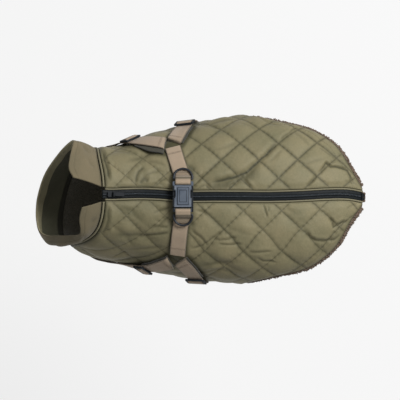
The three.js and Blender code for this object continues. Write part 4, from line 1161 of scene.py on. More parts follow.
# Places of the rim: turn, along, sideways, up, and how far the collar bows out below it
COLLAR_RIM = [
    (7, -176, 27, 42, 4),
    (26, -183, 42, 39, 5),
    (48, -181, 62, 30, 5),
    (70, -176, 88, 8, 3),
    (92, -189, 82, -20, 3),
    (113, -205, 65, -48, 4),
    (134, -221, 41, -70, 5),
    (155, -231, 12, -84, 6),
    (176, -235, -11, -88, 8),
    (196, -234, -32, -84, 10),
    (216, -229, -49, -72, 13),
    (237, -217, -58, -52, 14),
    (258, -199, -60, -28, 13),
    (280, -180, -62, -2, 10),
    (303, -165, -61, 22, 7),
    (330, -166, -39, 37, 5),
    (353, -162, -21, 42, 4),
]
# A fold in each row: turn, height, heading, length, width, depth, ridge
COLLAR_FOLDS = [
    (60, 40, 60, 50, 6, 1.6, 0.8),
    (120, 30, 84, 70, 8, 2.0, 1.0),
    (165, 44, 96, 80, 9, 1.1, 0.6),
    (205, 24, 80, 60, 8, 1.2, 0.6),
    (250, 46, 100, 66, 8, 1.8, 1.0),
    (300, 34, 70, 56, 7, 1.6, 0.8),
    (330, 26, 110, 34, 5, 1.2, 0.6),
    (36, 22, 40, 40, 5, 1.2, 0.6),
]
rim_rows = np.array(COLLAR_RIM, float)
rim_curve = [through(rim_rows[:, 0], rim_rows[:, k]) for k in (1, 2, 3)]
rim_swell = through(rim_rows[:, 0], rim_rows[:, 4])


def collar_middle(turn, share):
    turn, share = np.broadcast_arrays(np.asarray(turn, float), np.asarray(share, float))
    seam = lifted(COLLAR_SEAM, turn, np.full(turn.shape, WALL / 2 + 0.6))
    edge = np.stack([curve(turn) for curve in rim_curve], -1)
    bow = (rim_swell(turn) * np.sin(np.pi * share))[..., None]
    mixed = seam * (1 - share[..., None]) + edge * share[..., None]
    return mixed + outward(COLLAR_SEAM, turn) * bow


def collar_normal(turn, share):
    around = collar_middle(turn + 1, share) - collar_middle(turn - 1, share)
    above, below = np.minimum(share + 0.02, 1), np.maximum(share - 0.02, 0)
    return unit(np.cross(around, collar_middle(turn, above) - collar_middle(turn, below)))


def collar_heights(turns):
    return np.linalg.norm(collar_middle(turns, 1.0) - collar_middle(turns, 0.0), axis=-1)


def collar_crease(turn, share):
    folds = [(fold_turn * TURN_SIZE, *rest) for fold_turn, *rest in COLLAR_FOLDS]
    slack = 0.5 * soft_noise(turn * TURN_SIZE, share * HEIGHT_SIZE, 24, 11)
    return smooth(share * 4) * (fold_height(turn * TURN_SIZE, share * HEIGHT_SIZE, folds) + slack)


def collar_panel():
    first, last = COLLAR_RIM[0][0], COLLAR_RIM[-1][0]
    turns = edged(first, last, 1.2, (0.1, 0.4, 0.8, 1.3))
    shares = edged(0, 1, 0.02, (0.002, 0.006, 0.012, 0.02))
    turn, share = np.meshgrid(turns, shares, indexing="ij")
    middle, normal = collar_middle(turn, share), collar_normal(turn, share)
    height = collar_heights(turns)[:, None]
    ends = np.minimum(turn - first, last - turn) * 1.2
    distance = np.minimum.reduce([ends, share * height, (1 - share) * height])
    half = COLLAR_WALL / 2 * rolled(distance, COLLAR_WALL / 2)
    hem_groove = 0.45 * bell((1 - share) * height - RIM_STITCH, 0.9)
    crease = collar_crease(turn, share)
    outer = middle + normal * (half + crease - hem_groove)[..., None]
    inner = middle - normal * (half - crease - hem_groove)[..., None]
    run = steps_along(collar_middle(turns, 0.6))
    uv = np.stack(np.broadcast_arrays(run[:, None], share * height), -1)
    left_side = 0.3 * smooth((turn - 200) / 60)  # painted shade: the left half of the collar is turned from the light
    # Painted shade at the collar's foot and in its folds.
    seam = 0.8 * bell(share * height, 2)
    painted_shade = np.clip(seam + 0.12 * np.clip(-crease, 0, 2) + left_side, 0, 1)
    piece = cloth_piece("collar_cloth", outer, inner, uv, SOFT, COLLAR_LINING, painted_shade)
    facing = inner_faces_near_rim(piece, shares, len(turns))
    return piece, cut_size(middle), facing


def inner_faces_near_rim(piece, shares, rows):
    """Gives the inside near the rim a facing in a paler copy of the outer cloth, as painted light; returns
    how many faces it has.
    """
    columns = len(shares) - 1
    outer_count = (rows - 1) * columns
    slots = np.zeros(len(piece.data.polygons), np.int32)
    piece.data.polygons.foreach_get("material_index", slots)
    middle_share = (shares[1:] + shares[:-1]) / 2
    near = np.tile(middle_share > 0.6, rows - 1)
    block = slots[outer_count : 2 * outer_count]
    block[near] = 2
    slots[outer_count : 2 * outer_count] = block
    piece.data.materials.append(FACING_PAINTED_LIGHT)
    piece.data.polygons.foreach_set("material_index", slots)
    return int(near.sum())


collar, collar_size, facing_faces = collar_panel()
print("collar height, length, area", [round(v, 4) for v in collar_size], "facing faces", facing_faces)

# %% [markdown]
# ## Piping and seams
# Piping is a thin cord wrapped in a strip of cloth and caught in a seam. It is a round section that
# follows the seam: one piece round the neck and one along each side of the zip. The strip, or
# flange, closes the seam from inside, and the two side seams of the belly have one as well.

# %% Piping round the neck and beside the zip
NECK_PIPING_LIFT, ZIP_PIPING_LIFT = WALL - 0.4, WALL - 0.7
FLANGE_TOP, FLANGE_BOTTOM, FLANGE_HALF, NECK_FLANGE_HALF = 1.7, 0.7, 3.4, 5.5
FLANGE_SECTION = ((-1, FLANGE_TOP), (1, FLANGE_TOP), (1, FLANGE_BOTTOM), (-1, FLANGE_BOTTOM))


def piping_cord(name, along, turn, lift, radius):
    along, turn = np.broadcast_arrays(np.asarray(along, float), np.asarray(turn, float))
    centres = lifted(along, turn, np.full(along.shape, lift))
    return cord(name, centres, outward(along, turn), radius, PIPING, 10)


def flange(place):
    """The flat strip that is caught in a seam and closes it from inside, dark as painted shade in the
    seam. Its place is asked for by -1 and 1 for its two edges, and is a row of stations with a row
    of turns."""
    rows = []
    for edge, lift in FLANGE_SECTION:
        along, turn = np.broadcast_arrays(*place(edge))
        rows.append(lifted(along, turn, np.full(along.shape, lift)))
    return sweep("flange", np.stack(rows, 1), SEAM_STRIP_IN_SHADE, np.zeros((len(rows[0]), 4, 2)))


def flange_along(stations, around):
    return flange(lambda edge: (stations, turn_at(stations, around + FLANGE_HALF * edge)))


neck_turns = np.linspace(COLLAR_RIM[0][0], COLLAR_RIM[-1][0], 260)
neck_piping = piping_cord("neck_piping_cord", NECK_SEAM, neck_turns, NECK_PIPING_LIFT, NECK_PIPING_RADIUS)
neck_flange = flange(lambda edge: (NECK_SEAM + 1 + NECK_FLANGE_HALF * edge, neck_turns))
zip_stations = np.linspace(BODY_START, TAIL_HEM, 180)
beside_zip = ZIP_TAPE_HALF + GAP + PIPING_RADIUS
zip_piping = {}
for word, side in (("right", 1), ("left", -1)):
    name = f"zip_piping_{word}_cord"
    turns = turn_at(zip_stations, side * beside_zip)
    zip_cord = piping_cord(name, zip_stations, turns, ZIP_PIPING_LIFT, PIPING_RADIUS)
    zip_flange = flange_along(zip_stations[:-1], side * (beside_zip + 0.4))
    zip_piping[word] = joined(name, [zip_cord, zip_flange])
neck_piping = joined("neck_piping_cord", [neck_piping, neck_flange])
seam_stations = np.linspace(BODY_START + 1, BELLY_HEM - 1, 120)
side_flanges = [flange_along(seam_stations, side * outer_edge(seam_stations, side)) for side in (1, -1)]
belly = joined("belly_cloth", [belly] + side_flanges)
neck_length = steps_along(lifted(NECK_SEAM, neck_turns, np.full(neck_turns.shape, NECK_PIPING_LIFT)))[-1]
print("piping round the neck:", round(neck_length), "mm")

# %% [markdown]
# ## Repeated small things with Geometry Nodes
# Stitches, zip teeth and curls of fleece are one small shape set down many times. One node tree
# does that: it reads a point for each of them, turns the shape to the point's two stored
# directions, scales it, and makes the copies real. Its sizes are named inputs on the modifier.

# %% One tree for stitches, teeth and curls
def repeat_tree():
    """The empty tree with its named inputs."""
    tree = bpy.data.node_groups.new("set_down_along_points", "GeometryNodeTree")
    sizes = (("Length", 0.002), ("Width", 0.0006), ("Height", 0.0005), ("Unevenness", 0.1))
    counts = (("Sides", 6), ("Rings", 4), ("Seed", 1))
    inputs = [("Geometry", "NodeSocketGeometry", None)]
    inputs += [(label, FLOAT, value) for label, value in sizes]
    inputs += [(label, "NodeSocketInt", value) for label, value in counts]
    inputs += [("Material", "NodeSocketMaterial", None)]
    give_sockets(tree, inputs, [("Geometry", "NodeSocketGeometry")])
    return tree


def finished_repeat_tree():
    tree = repeat_tree()
    s = Sketch(tree)
    start, end = s.node("NodeGroupInput"), s.node("NodeGroupOutput")
    halves = [s.math("MULTIPLY", start.outputs[label], 0.5) for label in ("Height", "Width", "Length")]
    bead = s.node(
        "GeometryNodeMeshUVSphere", {"Segments": start.outputs["Sides"], "Rings": start.outputs["Rings"]}
    )
    size = s.node("ShaderNodeCombineXYZ", {0: halves[0], 1: halves[1], 2: halves[2]})
    shaped = s.node("GeometryNodeTransform", {"Geometry": bead.outputs["Mesh"], "Scale": size.outputs[0]})
    laid = s.node("GeometryNodeTransform", {"Geometry": shaped.outputs[0], "Rotation": (0, math.pi / 2, 0)})
    soft = s.node("GeometryNodeSetShadeSmooth", {"Geometry": laid.outputs[0]})
    ahead = s.node("GeometryNodeInputNamedAttribute", {"Name": "ahead"}, data_type="FLOAT_VECTOR")
    up = s.node("GeometryNodeInputNamedAttribute", {"Name": "up"}, data_type="FLOAT_VECTOR")
    turned = s.node(
        "FunctionNodeAxesToRotation",
        {"Primary Axis": ahead.outputs["Attribute"], "Secondary Axis": up.outputs["Attribute"]},
        primary_axis="X",
        secondary_axis="Z",
    )
    low = s.math("SUBTRACT", 1.0, start.outputs["Unevenness"])
    high = s.math("ADD", 1.0, start.outputs["Unevenness"])
    uneven = s.node("FunctionNodeRandomValue", data_type="FLOAT")
    for key, value in (("Min", low), ("Max", high), ("Seed", start.outputs["Seed"])):
        target = [socket for socket in uneven.inputs if socket.name == key and socket.enabled][0]
        tree.links.new(value, target)
    amount = [socket for socket in uneven.outputs if socket.enabled][0]
    copies = s.node(
        "GeometryNodeInstanceOnPoints",
        {
            "Points": start.outputs["Geometry"],
            "Instance": soft.outputs[0],
            "Rotation": turned.outputs[0],
            "Scale": amount,
        },
    )
    real = s.node("GeometryNodeRealizeInstances", {"Geometry": copies.outputs[0]})
    dressed = s.node(
        "GeometryNodeSetMaterial", {"Geometry": real.outputs[0], "Material": start.outputs["Material"]}
    )
    tree.links.new(dressed.outputs[0], end.inputs[0])
    return tree


REPEAT = finished_repeat_tree()
print("inputs of the tree:", [item.name for item in REPEAT.interface.items_tree if item.in_out == "INPUT"])


def set_down(name, points, ahead, up, material, **sizes):
    """Points in millimetres; sizes are the tree's named inputs, lengths in metres."""
    carrier = bpy.data.meshes.new(name + "_points")
    carrier.from_pydata((np.asarray(points) * MM).tolist(), [], [])
    for label, vectors in (("ahead", ahead), ("up", up)):
        stored = carrier.attributes.new(label, "FLOAT_VECTOR", "POINT")
        stored.data.foreach_set("vector", np.asarray(vectors, np.float32).ravel())
    piece = in_scene(name, carrier)
    modifier = piece.modifiers.new("repeat", "NODES")
    modifier.node_group = REPEAT
    values = {label.replace("_", " ").capitalize(): value for label, value in sizes.items()}
    values["Material"] = material
    for item in REPEAT.interface.items_tree:
        if item.in_out == "INPUT" and item.name in values:
            modifier[item.identifier] = values[item.name]
    settled(piece)
    bpy.data.meshes.remove(carrier)
    return piece


def spaced_along(points, ups, pitch):
    """Even points along a polyline, with its direction and the up direction at each."""
    run = steps_along(points)
    count = max(2, int(run[-1] / pitch))
    at = (np.arange(count) + 0.5) * run[-1] / count
    ahead = unit(blended(at + 0.5, run, points) - blended(at - 0.5, run, points))
    return blended(at, run, points), ahead, unit(blended(at, run, ups))


class StitchBook:
    """Collects rows of stitches that share one thread, then sets them all down at once."""

    def __init__(self):
        self.rows = []

    def row(self, points, ups, pitch=3.2):
        self.rows.append(spaced_along(np.asarray(points), np.asarray(ups), pitch))

    def sew(self, name, material, length=0.0024):
        points, ahead, up = (np.concatenate(part) for part in zip(*self.rows))
        sizes = {"length": length, "width": 0.0006, "height": 0.0005}
        piece = set_down(name, points, ahead, up, material, **sizes, sides=5, rings=4)
        print(name, "stitches", len(points), "faces", len(piece.data.polygons))
        return piece


# %% [markdown]
# ## Stitches on the shell
# Lockstitch shows as short beads of thread with small gaps, sunk in the line that they pull down.
# The quilting's rows follow the diagonals of the same lattice that shapes the padding, so thread
# and valley always agree. More rows hold the zip, the side seam and the rear hem.

# %% Stitches on the quilted shell
HEM_STITCH, SEAM_STITCH, ZIP_STITCH = 12.0, 3, 2.6  # distances of the topstitching from its edges
PANEL_REACH, LATTICE_LINES = 230, range(-8, 12)  # far enough to cover a whole panel
CLEAR_OF_EDGE, FEWEST_POINTS = 2.5, 8
shell_stitches = StitchBook()


def on_panel(along, around, side, above):
    """Points just above a panel's outer face, and the outward direction at each."""
    lift, _ = panel_lift(along, around, side)
    turn = turn_at(along, around)
    return lifted(along, turn, lift + above), outward(along, turn)


def quilting_rows(side):
    """Follows each diagonal of the lattice over a panel and keeps the stretches inside its seams."""
    for slope in (1, -1):
        for line in LATTICE_LINES:
            around = side * np.arange(ZIP_EDGE, PANEL_REACH, 1.0)
            along = (line - slope * around / QUILT_AROUND) * QUILT_ALONG
            for _ in range(8):
                on_pattern, round_pattern = lattice(along, around)
                along = along - on_pattern + (line - slope * round_pattern / QUILT_AROUND) * QUILT_ALONG
            inside = (along > BODY_START + 2) & (along < TAIL_HEM - 2)
            if inside.sum() < FEWEST_POINTS:
                continue
            along, around = along[inside], around[inside]
            clear = panel_distance(along, around, side) > CLEAR_OF_EDGE
            if clear.sum() < FEWEST_POINTS:
                continue
            shell_stitches.row(*on_panel(along[clear], around[clear], side, 0.05), pitch=3.4)


def edge_rows(side):
    """Topstitching beside the zip piping, above the side seam and inside the rear hem."""
    stations = np.arange(BODY_START + 2, TAIL_HEM - 8, 2.0)
    beside_piping = np.full(stations.shape, side * (ZIP_EDGE + ZIP_STITCH))
    shell_stitches.row(*on_panel(stations, beside_piping, side, 0.1))
    seam = np.arange(BODY_START + 2, BELLY_HEM, 2.0)
    shell_stitches.row(*on_panel(seam, side * (outer_edge(seam, side) - SEAM_STITCH), side, 0.1))
    hem = np.arange(BELLY_HEM + 2, TAIL_HEM - 6, 1.0)
    slope = (outer_edge(hem + 1, side) - outer_edge(hem - 1, side)) / 2
    steep = np.sqrt(1 + slope**2)
    along = hem + HEM_STITCH * slope / steep
    around = outer_edge(hem, side) - HEM_STITCH / steep
    keep = (around > ZIP_EDGE + 1) & (along > BELLY_HEM) & (along < TAIL_HEM - 2)
    shell_stitches.row(*on_panel(along[keep], side * around[keep], side, 0.1))


for side in (1, -1):
    quilting_rows(side)
    edge_rows(side)
shell_sewing = shell_stitches.sew("shell_stitches", THREAD)

# %% [markdown]
# ## Zip
# The zip runs the whole length of the back. Two coated tapes meet in the middle and each rises to a
# low lip there; the coil shows between the lips. The tape is one flat section taken along the spine.
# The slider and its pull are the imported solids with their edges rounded, because they are small
# moulded parts whose exact shape is already right.

# %% Zip tape and coil
TOOTH_PITCH, TOOTH_OUT, TOOTH_LIFT = 1.5, 0.5, 3.55
TAPE_SECTION = [
    (6.6, 1.6), (6.6, 2.8), (6.2, 3.05), (3.2, 3.0), (2.4, 3.1), (1.9, 3.5), (1.5, 3.95), (1.0, 4.1),
    (0.45, 4.0), (0.2, 3.6), (0.0, 3.4),
]
tape_profile = TAPE_SECTION + [(-x, lift) for x, lift in TAPE_SECTION[-2::-1]]
tape_around = np.array([x for x, _ in tape_profile], float)
tape_lift = np.array([lift for _, lift in tape_profile], float)
tape_stations = np.linspace(NECK_SEAM - 2, TAIL_HEM - 2, 210)


def spine_points(stations, around, lift):
    """A grid of points: one section for each station along the spine."""
    along, around, lift = np.broadcast_arrays(stations[:, None], around[None, :], lift[None, :])
    return lifted(along, turn_at(along, around), lift)


tape_points = spine_points(tape_stations, tape_around, tape_lift)
tape_size = cut_size(tape_points)
tape_uv = np.stack(np.broadcast_arrays(tape_around[None, :], tape_stations[:, None]), -1)
zip_tape = sweep("zip_tape_cloth", tape_points, TAPE_CLOTH, tape_uv)
coil_stations = np.arange(NECK_SEAM - 1, TAIL_HEM - 3, TOOTH_PITCH)
teeth = []
for side in (1, -1):
    stations = coil_stations + (TOOTH_PITCH / 2 if side > 0 else 0)
    spots = spine_points(stations, np.array([side * TOOTH_OUT]), np.array([TOOTH_LIFT]))[:, 0]
    up = outward(stations, 0)
    teeth.append((spots, np.cross(up, unit(np.gradient(spots, axis=0))), up))
coil = set_down(
    "zip_coil_teeth", *(np.concatenate(part) for part in zip(*teeth)), TEETH,
    length=0.0022, width=0.0009, height=0.0011, unevenness=0.0, sides=6, rings=5,
)
print("zip teeth faces:", len(coil.data.polygons))
print("zip tape width, length", [round(v, 4) for v in tape_size[:2]])


# %% Rounded copies of moulded solids
def rounded_copy(name, node, material, radius, segments=2):
    """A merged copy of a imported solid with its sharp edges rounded."""
    mesh = bmesh.new()
    mesh.from_mesh(solids[node].data)
    bmesh.ops.remove_doubles(mesh, verts=mesh.verts, dist=1e-6)
    bmesh.ops.dissolve_limit(mesh, angle_limit=math.radians(2), verts=mesh.verts, edges=mesh.edges)
    made = bpy.data.meshes.new(name)
    mesh.to_mesh(made)
    mesh.free()
    made.materials.clear()
    made.materials.append(material)
    made.polygons.foreach_set("material_index", np.zeros(len(made.polygons), np.int32))
    made.polygons.foreach_set("use_smooth", np.full(len(made.polygons), True))
    piece = in_scene(name, made)
    bevel = piece.modifiers.new("rounded_edges", "BEVEL")
    bevel.width, bevel.segments, bevel.limit_method = radius * MM, segments, "ANGLE"
    bevel.angle_limit, bevel.use_clamp_overlap = math.radians(35), True
    shading = piece.modifiers.new("even_shading", "WEIGHTED_NORMAL")
    shading.keep_sharp = True
    return settled(piece)


slider = rounded_copy("zip_slider_body", "zip_slider", DARK_PLASTIC, 0.35)
pull = rounded_copy("zip_pull_tab", "zip_pull", DARK_PLASTIC, 0.3)
end_tab = rounded_copy("zip_end_fold", "zip_end_tab", TAPE_CLOTH, 0.6, 3)
print("slider faces:", len(slider.data.polygons))

# %% [markdown]
# ## Fleece at the rear hem
# The lining is a curly fleece that stands out a few millimetres past the rear hem, all round the
# tail. A soft strip gives its thickness. Thousands of small curls on it, each turned and sized a
# little differently, give the fuzzy edge, which no bump map could give to an outline.

# %% Fleece strip and curls
FLEECE_UNDER, FLEECE_BEYOND = 10, 4
TAIL_AROUND = (6, 3, 0, -3, -6)


def fleece_place(side, station, away):
    """Where a point lies that is some way out from the rear hem, square to it."""
    slope = (outer_edge(station + 2, side) - outer_edge(station - 2, side)) / 4
    steep = np.sqrt(slope**2 + 1)
    along = station - away * slope / steep
    return along, side * (outer_edge(station, side) + away / steep)


def fleece_sections(side, stations, offsets):
    """Sections of the fleece strip down one side; offsets are (way out from the hem, height)."""
    rows = []
    for away, lift in offsets:
        along, around = fleece_place(side, stations, away)
        rows.append(lifted(along, turn_at(along, around), np.full(along.shape, lift)))
    return np.stack(rows, 1)


FLEECE_LIP = [(1.6, -0.6), (0.7, -1.1), (0.4, -2.2), (0.7, -3.3), (1.6, -3.8)]
rounded_lip = [(FLEECE_BEYOND - short, lift) for short, lift in FLEECE_LIP]
fleece_outline = [(-FLEECE_UNDER, -0.6)] + rounded_lip + [(-FLEECE_UNDER, -3.8)]
fleece_stations = np.linspace(BELLY_HEM + 6, TAIL_HEM - 2, 120)
right_part = fleece_sections(1, fleece_stations, fleece_outline)
left_part = fleece_sections(-1, fleece_stations, fleece_outline)[::-1]
tail_part = []
for around in TAIL_AROUND:
    stations = [TAIL_HEM - 1 + away for away, _ in fleece_outline]
    lifts = [lift - 0.6 for _, lift in fleece_outline]
    tail_part.append([lifted(along, turn_at(along, around), lift) for along, lift in zip(stations, lifts)])
fleece_path = np.concatenate([right_part, np.array(tail_part), left_part])
run = steps_along(fleece_path[:, 1])
fleece_uv = np.stack(np.broadcast_arrays(steps_along(fleece_path[0])[None, :], run[:, None]), -1)
fleece = sweep("rear_fleece_strip", fleece_path, FLEECE, fleece_uv)
print("fleece strip:", round(run[-1]), "mm")


def hem_spots(place, past, rise):
    """Points at a distance round the hem, past its edge, and above the coat's inner face."""
    count = len(fleece_stations)
    spots = np.zeros((len(place), 3))
    right, left = place <= run[count - 1], place >= run[-count]
    right_side = (1, right, run[:count], fleece_stations)
    left_side = (-1, left, run[-count:], fleece_stations[::-1])
    for side, mine, known, stations in (right_side, left_side):
        along, around = fleece_place(side, np.interp(place[mine], known, stations), past[mine])
        spots[mine] = lifted(along, turn_at(along, around), rise[mine])
    tail = ~(right | left)
    along = TAIL_HEM - 1 + past[tail]
    around = np.interp(place[tail], run[count : len(run) - count], TAIL_AROUND)
    spots[tail] = lifted(along, turn_at(along, around), rise[tail])
    return spots


# The curls spill over the hem where the cloth hangs, and only past it where the cloth lies flat
CURLS = 6400
curl_maker = np.random.default_rng(12)
place = curl_maker.uniform(0, run[-1], CURLS)
steepness = np.interp(place, run, 1 - unit(fleece_path[:, 0] - fleece_path[:, -1])[:, 2])
past = curl_maker.uniform(0.2, 5.2, CURLS)
fuller = smooth(np.minimum(place, run[-1] - place) / 90)  # the fleece thins out towards the belly
reach_out = curl_maker.uniform(-1.5, 4 + 4 * fuller)
rise = curl_maker.uniform(-2.5, 1.8, CURLS) * (1 - steepness) + reach_out * steepness
curls = hem_spots(place, past, rise)
heading = unit(curl_maker.normal(0, 1, (CURLS, 3)))
lean = unit(np.cross(heading, curl_maker.normal(0, 1, (CURLS, 3))))
fleece_curls = set_down(
    "rear_fleece_curls", curls, heading, lean, FLEECE,
    length=0.0036, width=0.0017, height=0.0017, unevenness=0.4, sides=5, rings=4, seed=4,
)
print("fleece curls faces:", len(fleece_curls.data.polygons))

# %% [markdown]
# ## Harness webbing
# Webbing bends easily along its length and hardly at all across it, so its section stays straight
# and only its edges are rounded. Where two straps meet at a slant, the end of the upper one is
# folded under and turns down to the strap below.

# %% Webbing helpers
SLANT_REACH, FOLD_REACH = 16, 3.2
# Section of the webbing, round its edge: distance from its middle, and share of its thickness
WEB_TOP = [(-12.4, 0.85), (-12, 1), (-8, 1), (-4, 1), (0, 1), (4, 1), (8, 1), (12, 1), (12.4, 0.85)]
web_section = [(-12.5, 0.5)] + WEB_TOP + [(12.5, 0.5)] + [(-x, 1 - share) for x, share in WEB_TOP]
web_across, web_up = np.array(web_section, float).T
print("points in a section of webbing:", len(web_section))


def strap_frames(rows, at):
    """Centre, ahead, side and top along a strap; at counts rows of its table."""
    rows = np.array(rows, float)
    stops = np.arange(len(rows))
    along, turn, lift = (through(stops, rows[:, k]) for k in range(3))
    at = np.asarray(at, float)
    centre = lifted(along(at), turn(at), lift(at))
    before = lifted(along(at - 0.02), turn(at - 0.02), lift(at - 0.02))
    after = lifted(along(at + 0.02), turn(at + 0.02), lift(at + 0.02))
    ahead = unit(after - before)
    side = unit(np.cross(outward(along(at), turn(at)), ahead))
    return centre, ahead, side, np.cross(ahead, side)


def measured(rows):
    """Close places in a strap's table, and the length of webbing up to each."""
    fine = np.linspace(0, len(rows) - 1, 400)
    return fine, steps_along(strap_frames(rows, fine)[0])


def even_places(rows, pitch):
    """Places at an even pitch, with two more at each end, where the webbing folds under."""
    fine, run = measured(rows)
    count = max(4, int(run[-1] / pitch))
    at = np.interp(np.linspace(0, run[-1], count + 1), run, fine)
    close = (at[1] - at[0]) * np.array([0, 0.15, 0.4])
    return np.concatenate([at[0] + close, at[1:-1], at[-1] - close[::-1]]), run[-1]


def end_shift(run, slant):
    """How far each point of a section moves along the strap so that its ends are cut at a slant."""
    to_left = (web_across / WEB_WIDTH + 0.5)[None, :]
    shift = np.zeros((len(run), len(web_across)))
    for sign, distance, (right, left) in ((-1, run, slant[0]), (1, run[-1] - run, slant[1])):
        near = 1 - np.clip(distance / SLANT_REACH, 0, 1)
        shift += sign * near[:, None] * (right + (left - right) * to_left)
    return shift


def web_piece(name, centre, side, top, material, thickness=WEB_THICK, slant=None, dark=None):
    """Webbing whose underside runs through the centres; dark has one number of painted shade for each
    centre.
    """
    sections = (
        centre[:, None]
        + side[:, None] * web_across[None, :, None]
        + top[:, None] * (web_up * thickness)[None, :, None]
    )
    run = steps_along(centre)
    if slant is not None:
        ahead = unit(np.gradient(centre, axis=0))
        sections = sections + ahead[:, None] * end_shift(run, slant)[:, :, None]
    uv = np.stack(np.broadcast_arrays(web_across[None, :], run[:, None]), -1)
    dark = np.zeros(len(run)) if dark is None else dark
    return sweep(name, sections, material, uv, painted_shade=np.repeat(dark, len(web_across)))


# %% Straps
strap_length = {}


def strap(name, rows):
    """The webbing of one strap; the two long ones fold under, with painted shade at their ends."""
    at, strap_length[name] = even_places(rows, 3.0)
    centre, _, side, top = strap_frames(rows, at)
    sag = 0.3 * np.sin(np.arange(len(at)) * 0.7) * np.sin(np.linspace(0, math.pi, len(at)))
    run = steps_along(centre)
    from_end = np.minimum(run, run[-1] - run)
    dark = np.zeros(len(run))
    if name in ("chest_strap", "girth_strap"):
        sag = sag - LAYER * (1 - rolled(from_end, FOLD_REACH))
        # Painted shade where the webbing folds under at the ends.
        dark = 0.75 * bell(from_end, 1.6)
    dark = dark + STRAP_LEFT_SHADE * smooth(-centre[:, 1] / 10)
    # Returns get the dark webbing: painted shade under the straps' edges.
    web = RETURN_WEBBING_IN_SHADE if name.startswith("return") else WEBBING_CLOTH
    path = centre + top * sag[:, None]
    return web_piece(name + "_web", path, side, top, web, slant=SLANTED_ENDS.get(name), dark=dark)


straps = {name: strap(name, rows) for name, rows in STRAPS.items()}
for name, length in strap_length.items():
    print(name, round(length), "mm")

# %% [markdown]
# ## Adjusters
# Each adjuster is a moulded frame with a middle bar. The webbing goes up through one slot, over the
# bar and down through the other, which shows as a short hump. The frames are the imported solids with
# rounded edges, and the hump is a short piece of webbing joined to its strap.

# %% Adjusters with the webbing over their bars
ADJUSTERS = {
    "front_right": ("chest_strap", 3),
    "rear_right": ("girth_strap", 2),
    "front_left": ("chest_strap", 12),
    "rear_left": ("girth_strap", 10),
}
ADJUSTER_THICK, ADJUSTER_CLEAR, HUMP_THICK = 3, 0.9, 1.6
HALF_HUMP = [(5.2, -2.6), (5.0, -0.6), (4.4, 1.0), (3.2, 1.75), (1.6, 2.05)]
HUMP = [(-forward, up) for forward, up in HALF_HUMP] + [(0, 2.15)] + HALF_HUMP[::-1]
adjusters = {}
for word, (strap_name, row) in ADJUSTERS.items():
    centre, ahead, side, top = (v[0] for v in strap_frames(STRAPS[strap_name], [row]))
    middle = centre + top * (WEB_THICK + ADJUSTER_CLEAR + ADJUSTER_THICK / 2)
    path = np.array([middle + ahead * forward + top * up for forward, up in HUMP])
    sides, tops = np.repeat([side], len(HUMP), 0), unit(np.cross(unit(np.gradient(path, axis=0)), side))
    hump = web_piece("hump", path - tops * HUMP_THICK / 2, sides, tops, WEBBING_CLOTH, HUMP_THICK)
    straps[strap_name] = joined(strap_name + "_web", [straps[strap_name], hump])
    adjusters[word] = rounded_copy(f"adjuster_{word}_frame", f"adjuster_{word}", DARK_PLASTIC, 0.7, 3)
print("adjusters:", len(adjusters))

# %% [markdown]
# ## Leash rings
# A leash ring is steel wire bent to the shape of a D, whose straight side turns inside a fold of
# webbing. A round section swept along the bend gives true round wire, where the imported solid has
# flat faces. It has the same hinge line and the same tilt, so it turns as the solid does.

# %% Leash rings
RING_HEIGHT, RING_WIRE, RING_BEND = 12.6, 1.75, 14.9
RING_STRAIGHT, RING_CORNER, RING_DROOP = 2.4, 2.2, 10
SIDES = {1: {"bar": 21.2, "hinge": 26.8, "end": 39.5}, -1: {"bar": 24.4, "hinge": 30, "end": 43}}


def arc(x, y, radius, start, stop, count):
    """Points on an arc round (x, y), from one angle in degrees to another."""
    angle = np.radians(np.linspace(start, stop, count))
    return np.stack([x + radius * np.cos(angle), y + radius * np.sin(angle), 0 * angle], -1)


def straight_to(a, b, count):
    share = np.linspace(0, 1, count + 2)[1:-1, None]
    return a + (b - a) * share


def turned(points, side):
    """The left buckle loop and ring are the right ones turned half a circle about the upright."""
    return points if side > 0 else points * (-1, -1, 1)


def leash_ring(name, side):
    """Round wire along the bend, the two corners and the straight side."""
    bend = arc(0, RING_STRAIGHT, RING_BEND, 0, 180, 48)
    left = arc(RING_CORNER - RING_BEND, RING_CORNER, RING_CORNER, 185, 270, 8)
    right = arc(RING_BEND - RING_CORNER, RING_CORNER, RING_CORNER, 270, 355, 8)
    route = np.concatenate([bend, left, straight_to(left[-1], right[0], 12), right])
    droop = math.radians(-RING_DROOP)
    cosine, sine = math.cos(droop), math.sin(droop)
    turn = np.array([[1, 0, 0], [0, cosine, -sine], [0, sine, cosine]])
    route = route @ turn.T + (0, SIDES[side]["hinge"], RING_HEIGHT)
    route = turned(route, side)
    up = turn @ np.array([0, 0, 1.0]) * ((-1, -1, 1) if side < 0 else 1)
    return cord(name, route, np.repeat([up], len(route), 0), RING_WIRE, STEEL, 14, ring=True)


rings = {1: leash_ring("leash_ring_right_wire", 1), -1: leash_ring("leash_ring_left_wire", -1)}
print("ring faces:", len(rings[1].data.polygons))

# %% [markdown]
# ## Buckle and its webbing loops
# A side-release buckle has a socket with a window on each side and a plug whose two prongs show in
# those windows. Its edges are rounded, and its top has a raised panel. On both sides the end of the
# centre strap is folded round the buckle's bar and the ring, and sewn down: one ribbon that follows
# that fold.

# %% Buckle
BUCKLE_BASE, BUCKLE_THICK, BUCKLE_BAR = 9.6, 10, 3.6
BUCKLE_HEIGHT = BUCKLE_BASE + BUCKLE_THICK / 2
socket = rounded_copy("buckle_socket_body", "buckle_socket", PLASTIC, 0.8, 3)
plug = rounded_copy("buckle_plug_body", "buckle_plug", PLASTIC, 0.6, 3)


def darken(piece, chosen):
    """Paints shade: gives the dark plastic to the faces whose middle and normal, in millimetres, are chosen.
    """
    piece.data.materials.append(DARK_PLASTIC)
    for face in piece.data.polygons:
        if chosen(face.center / MM, face.normal):
            face.material_index = len(piece.data.materials) - 1


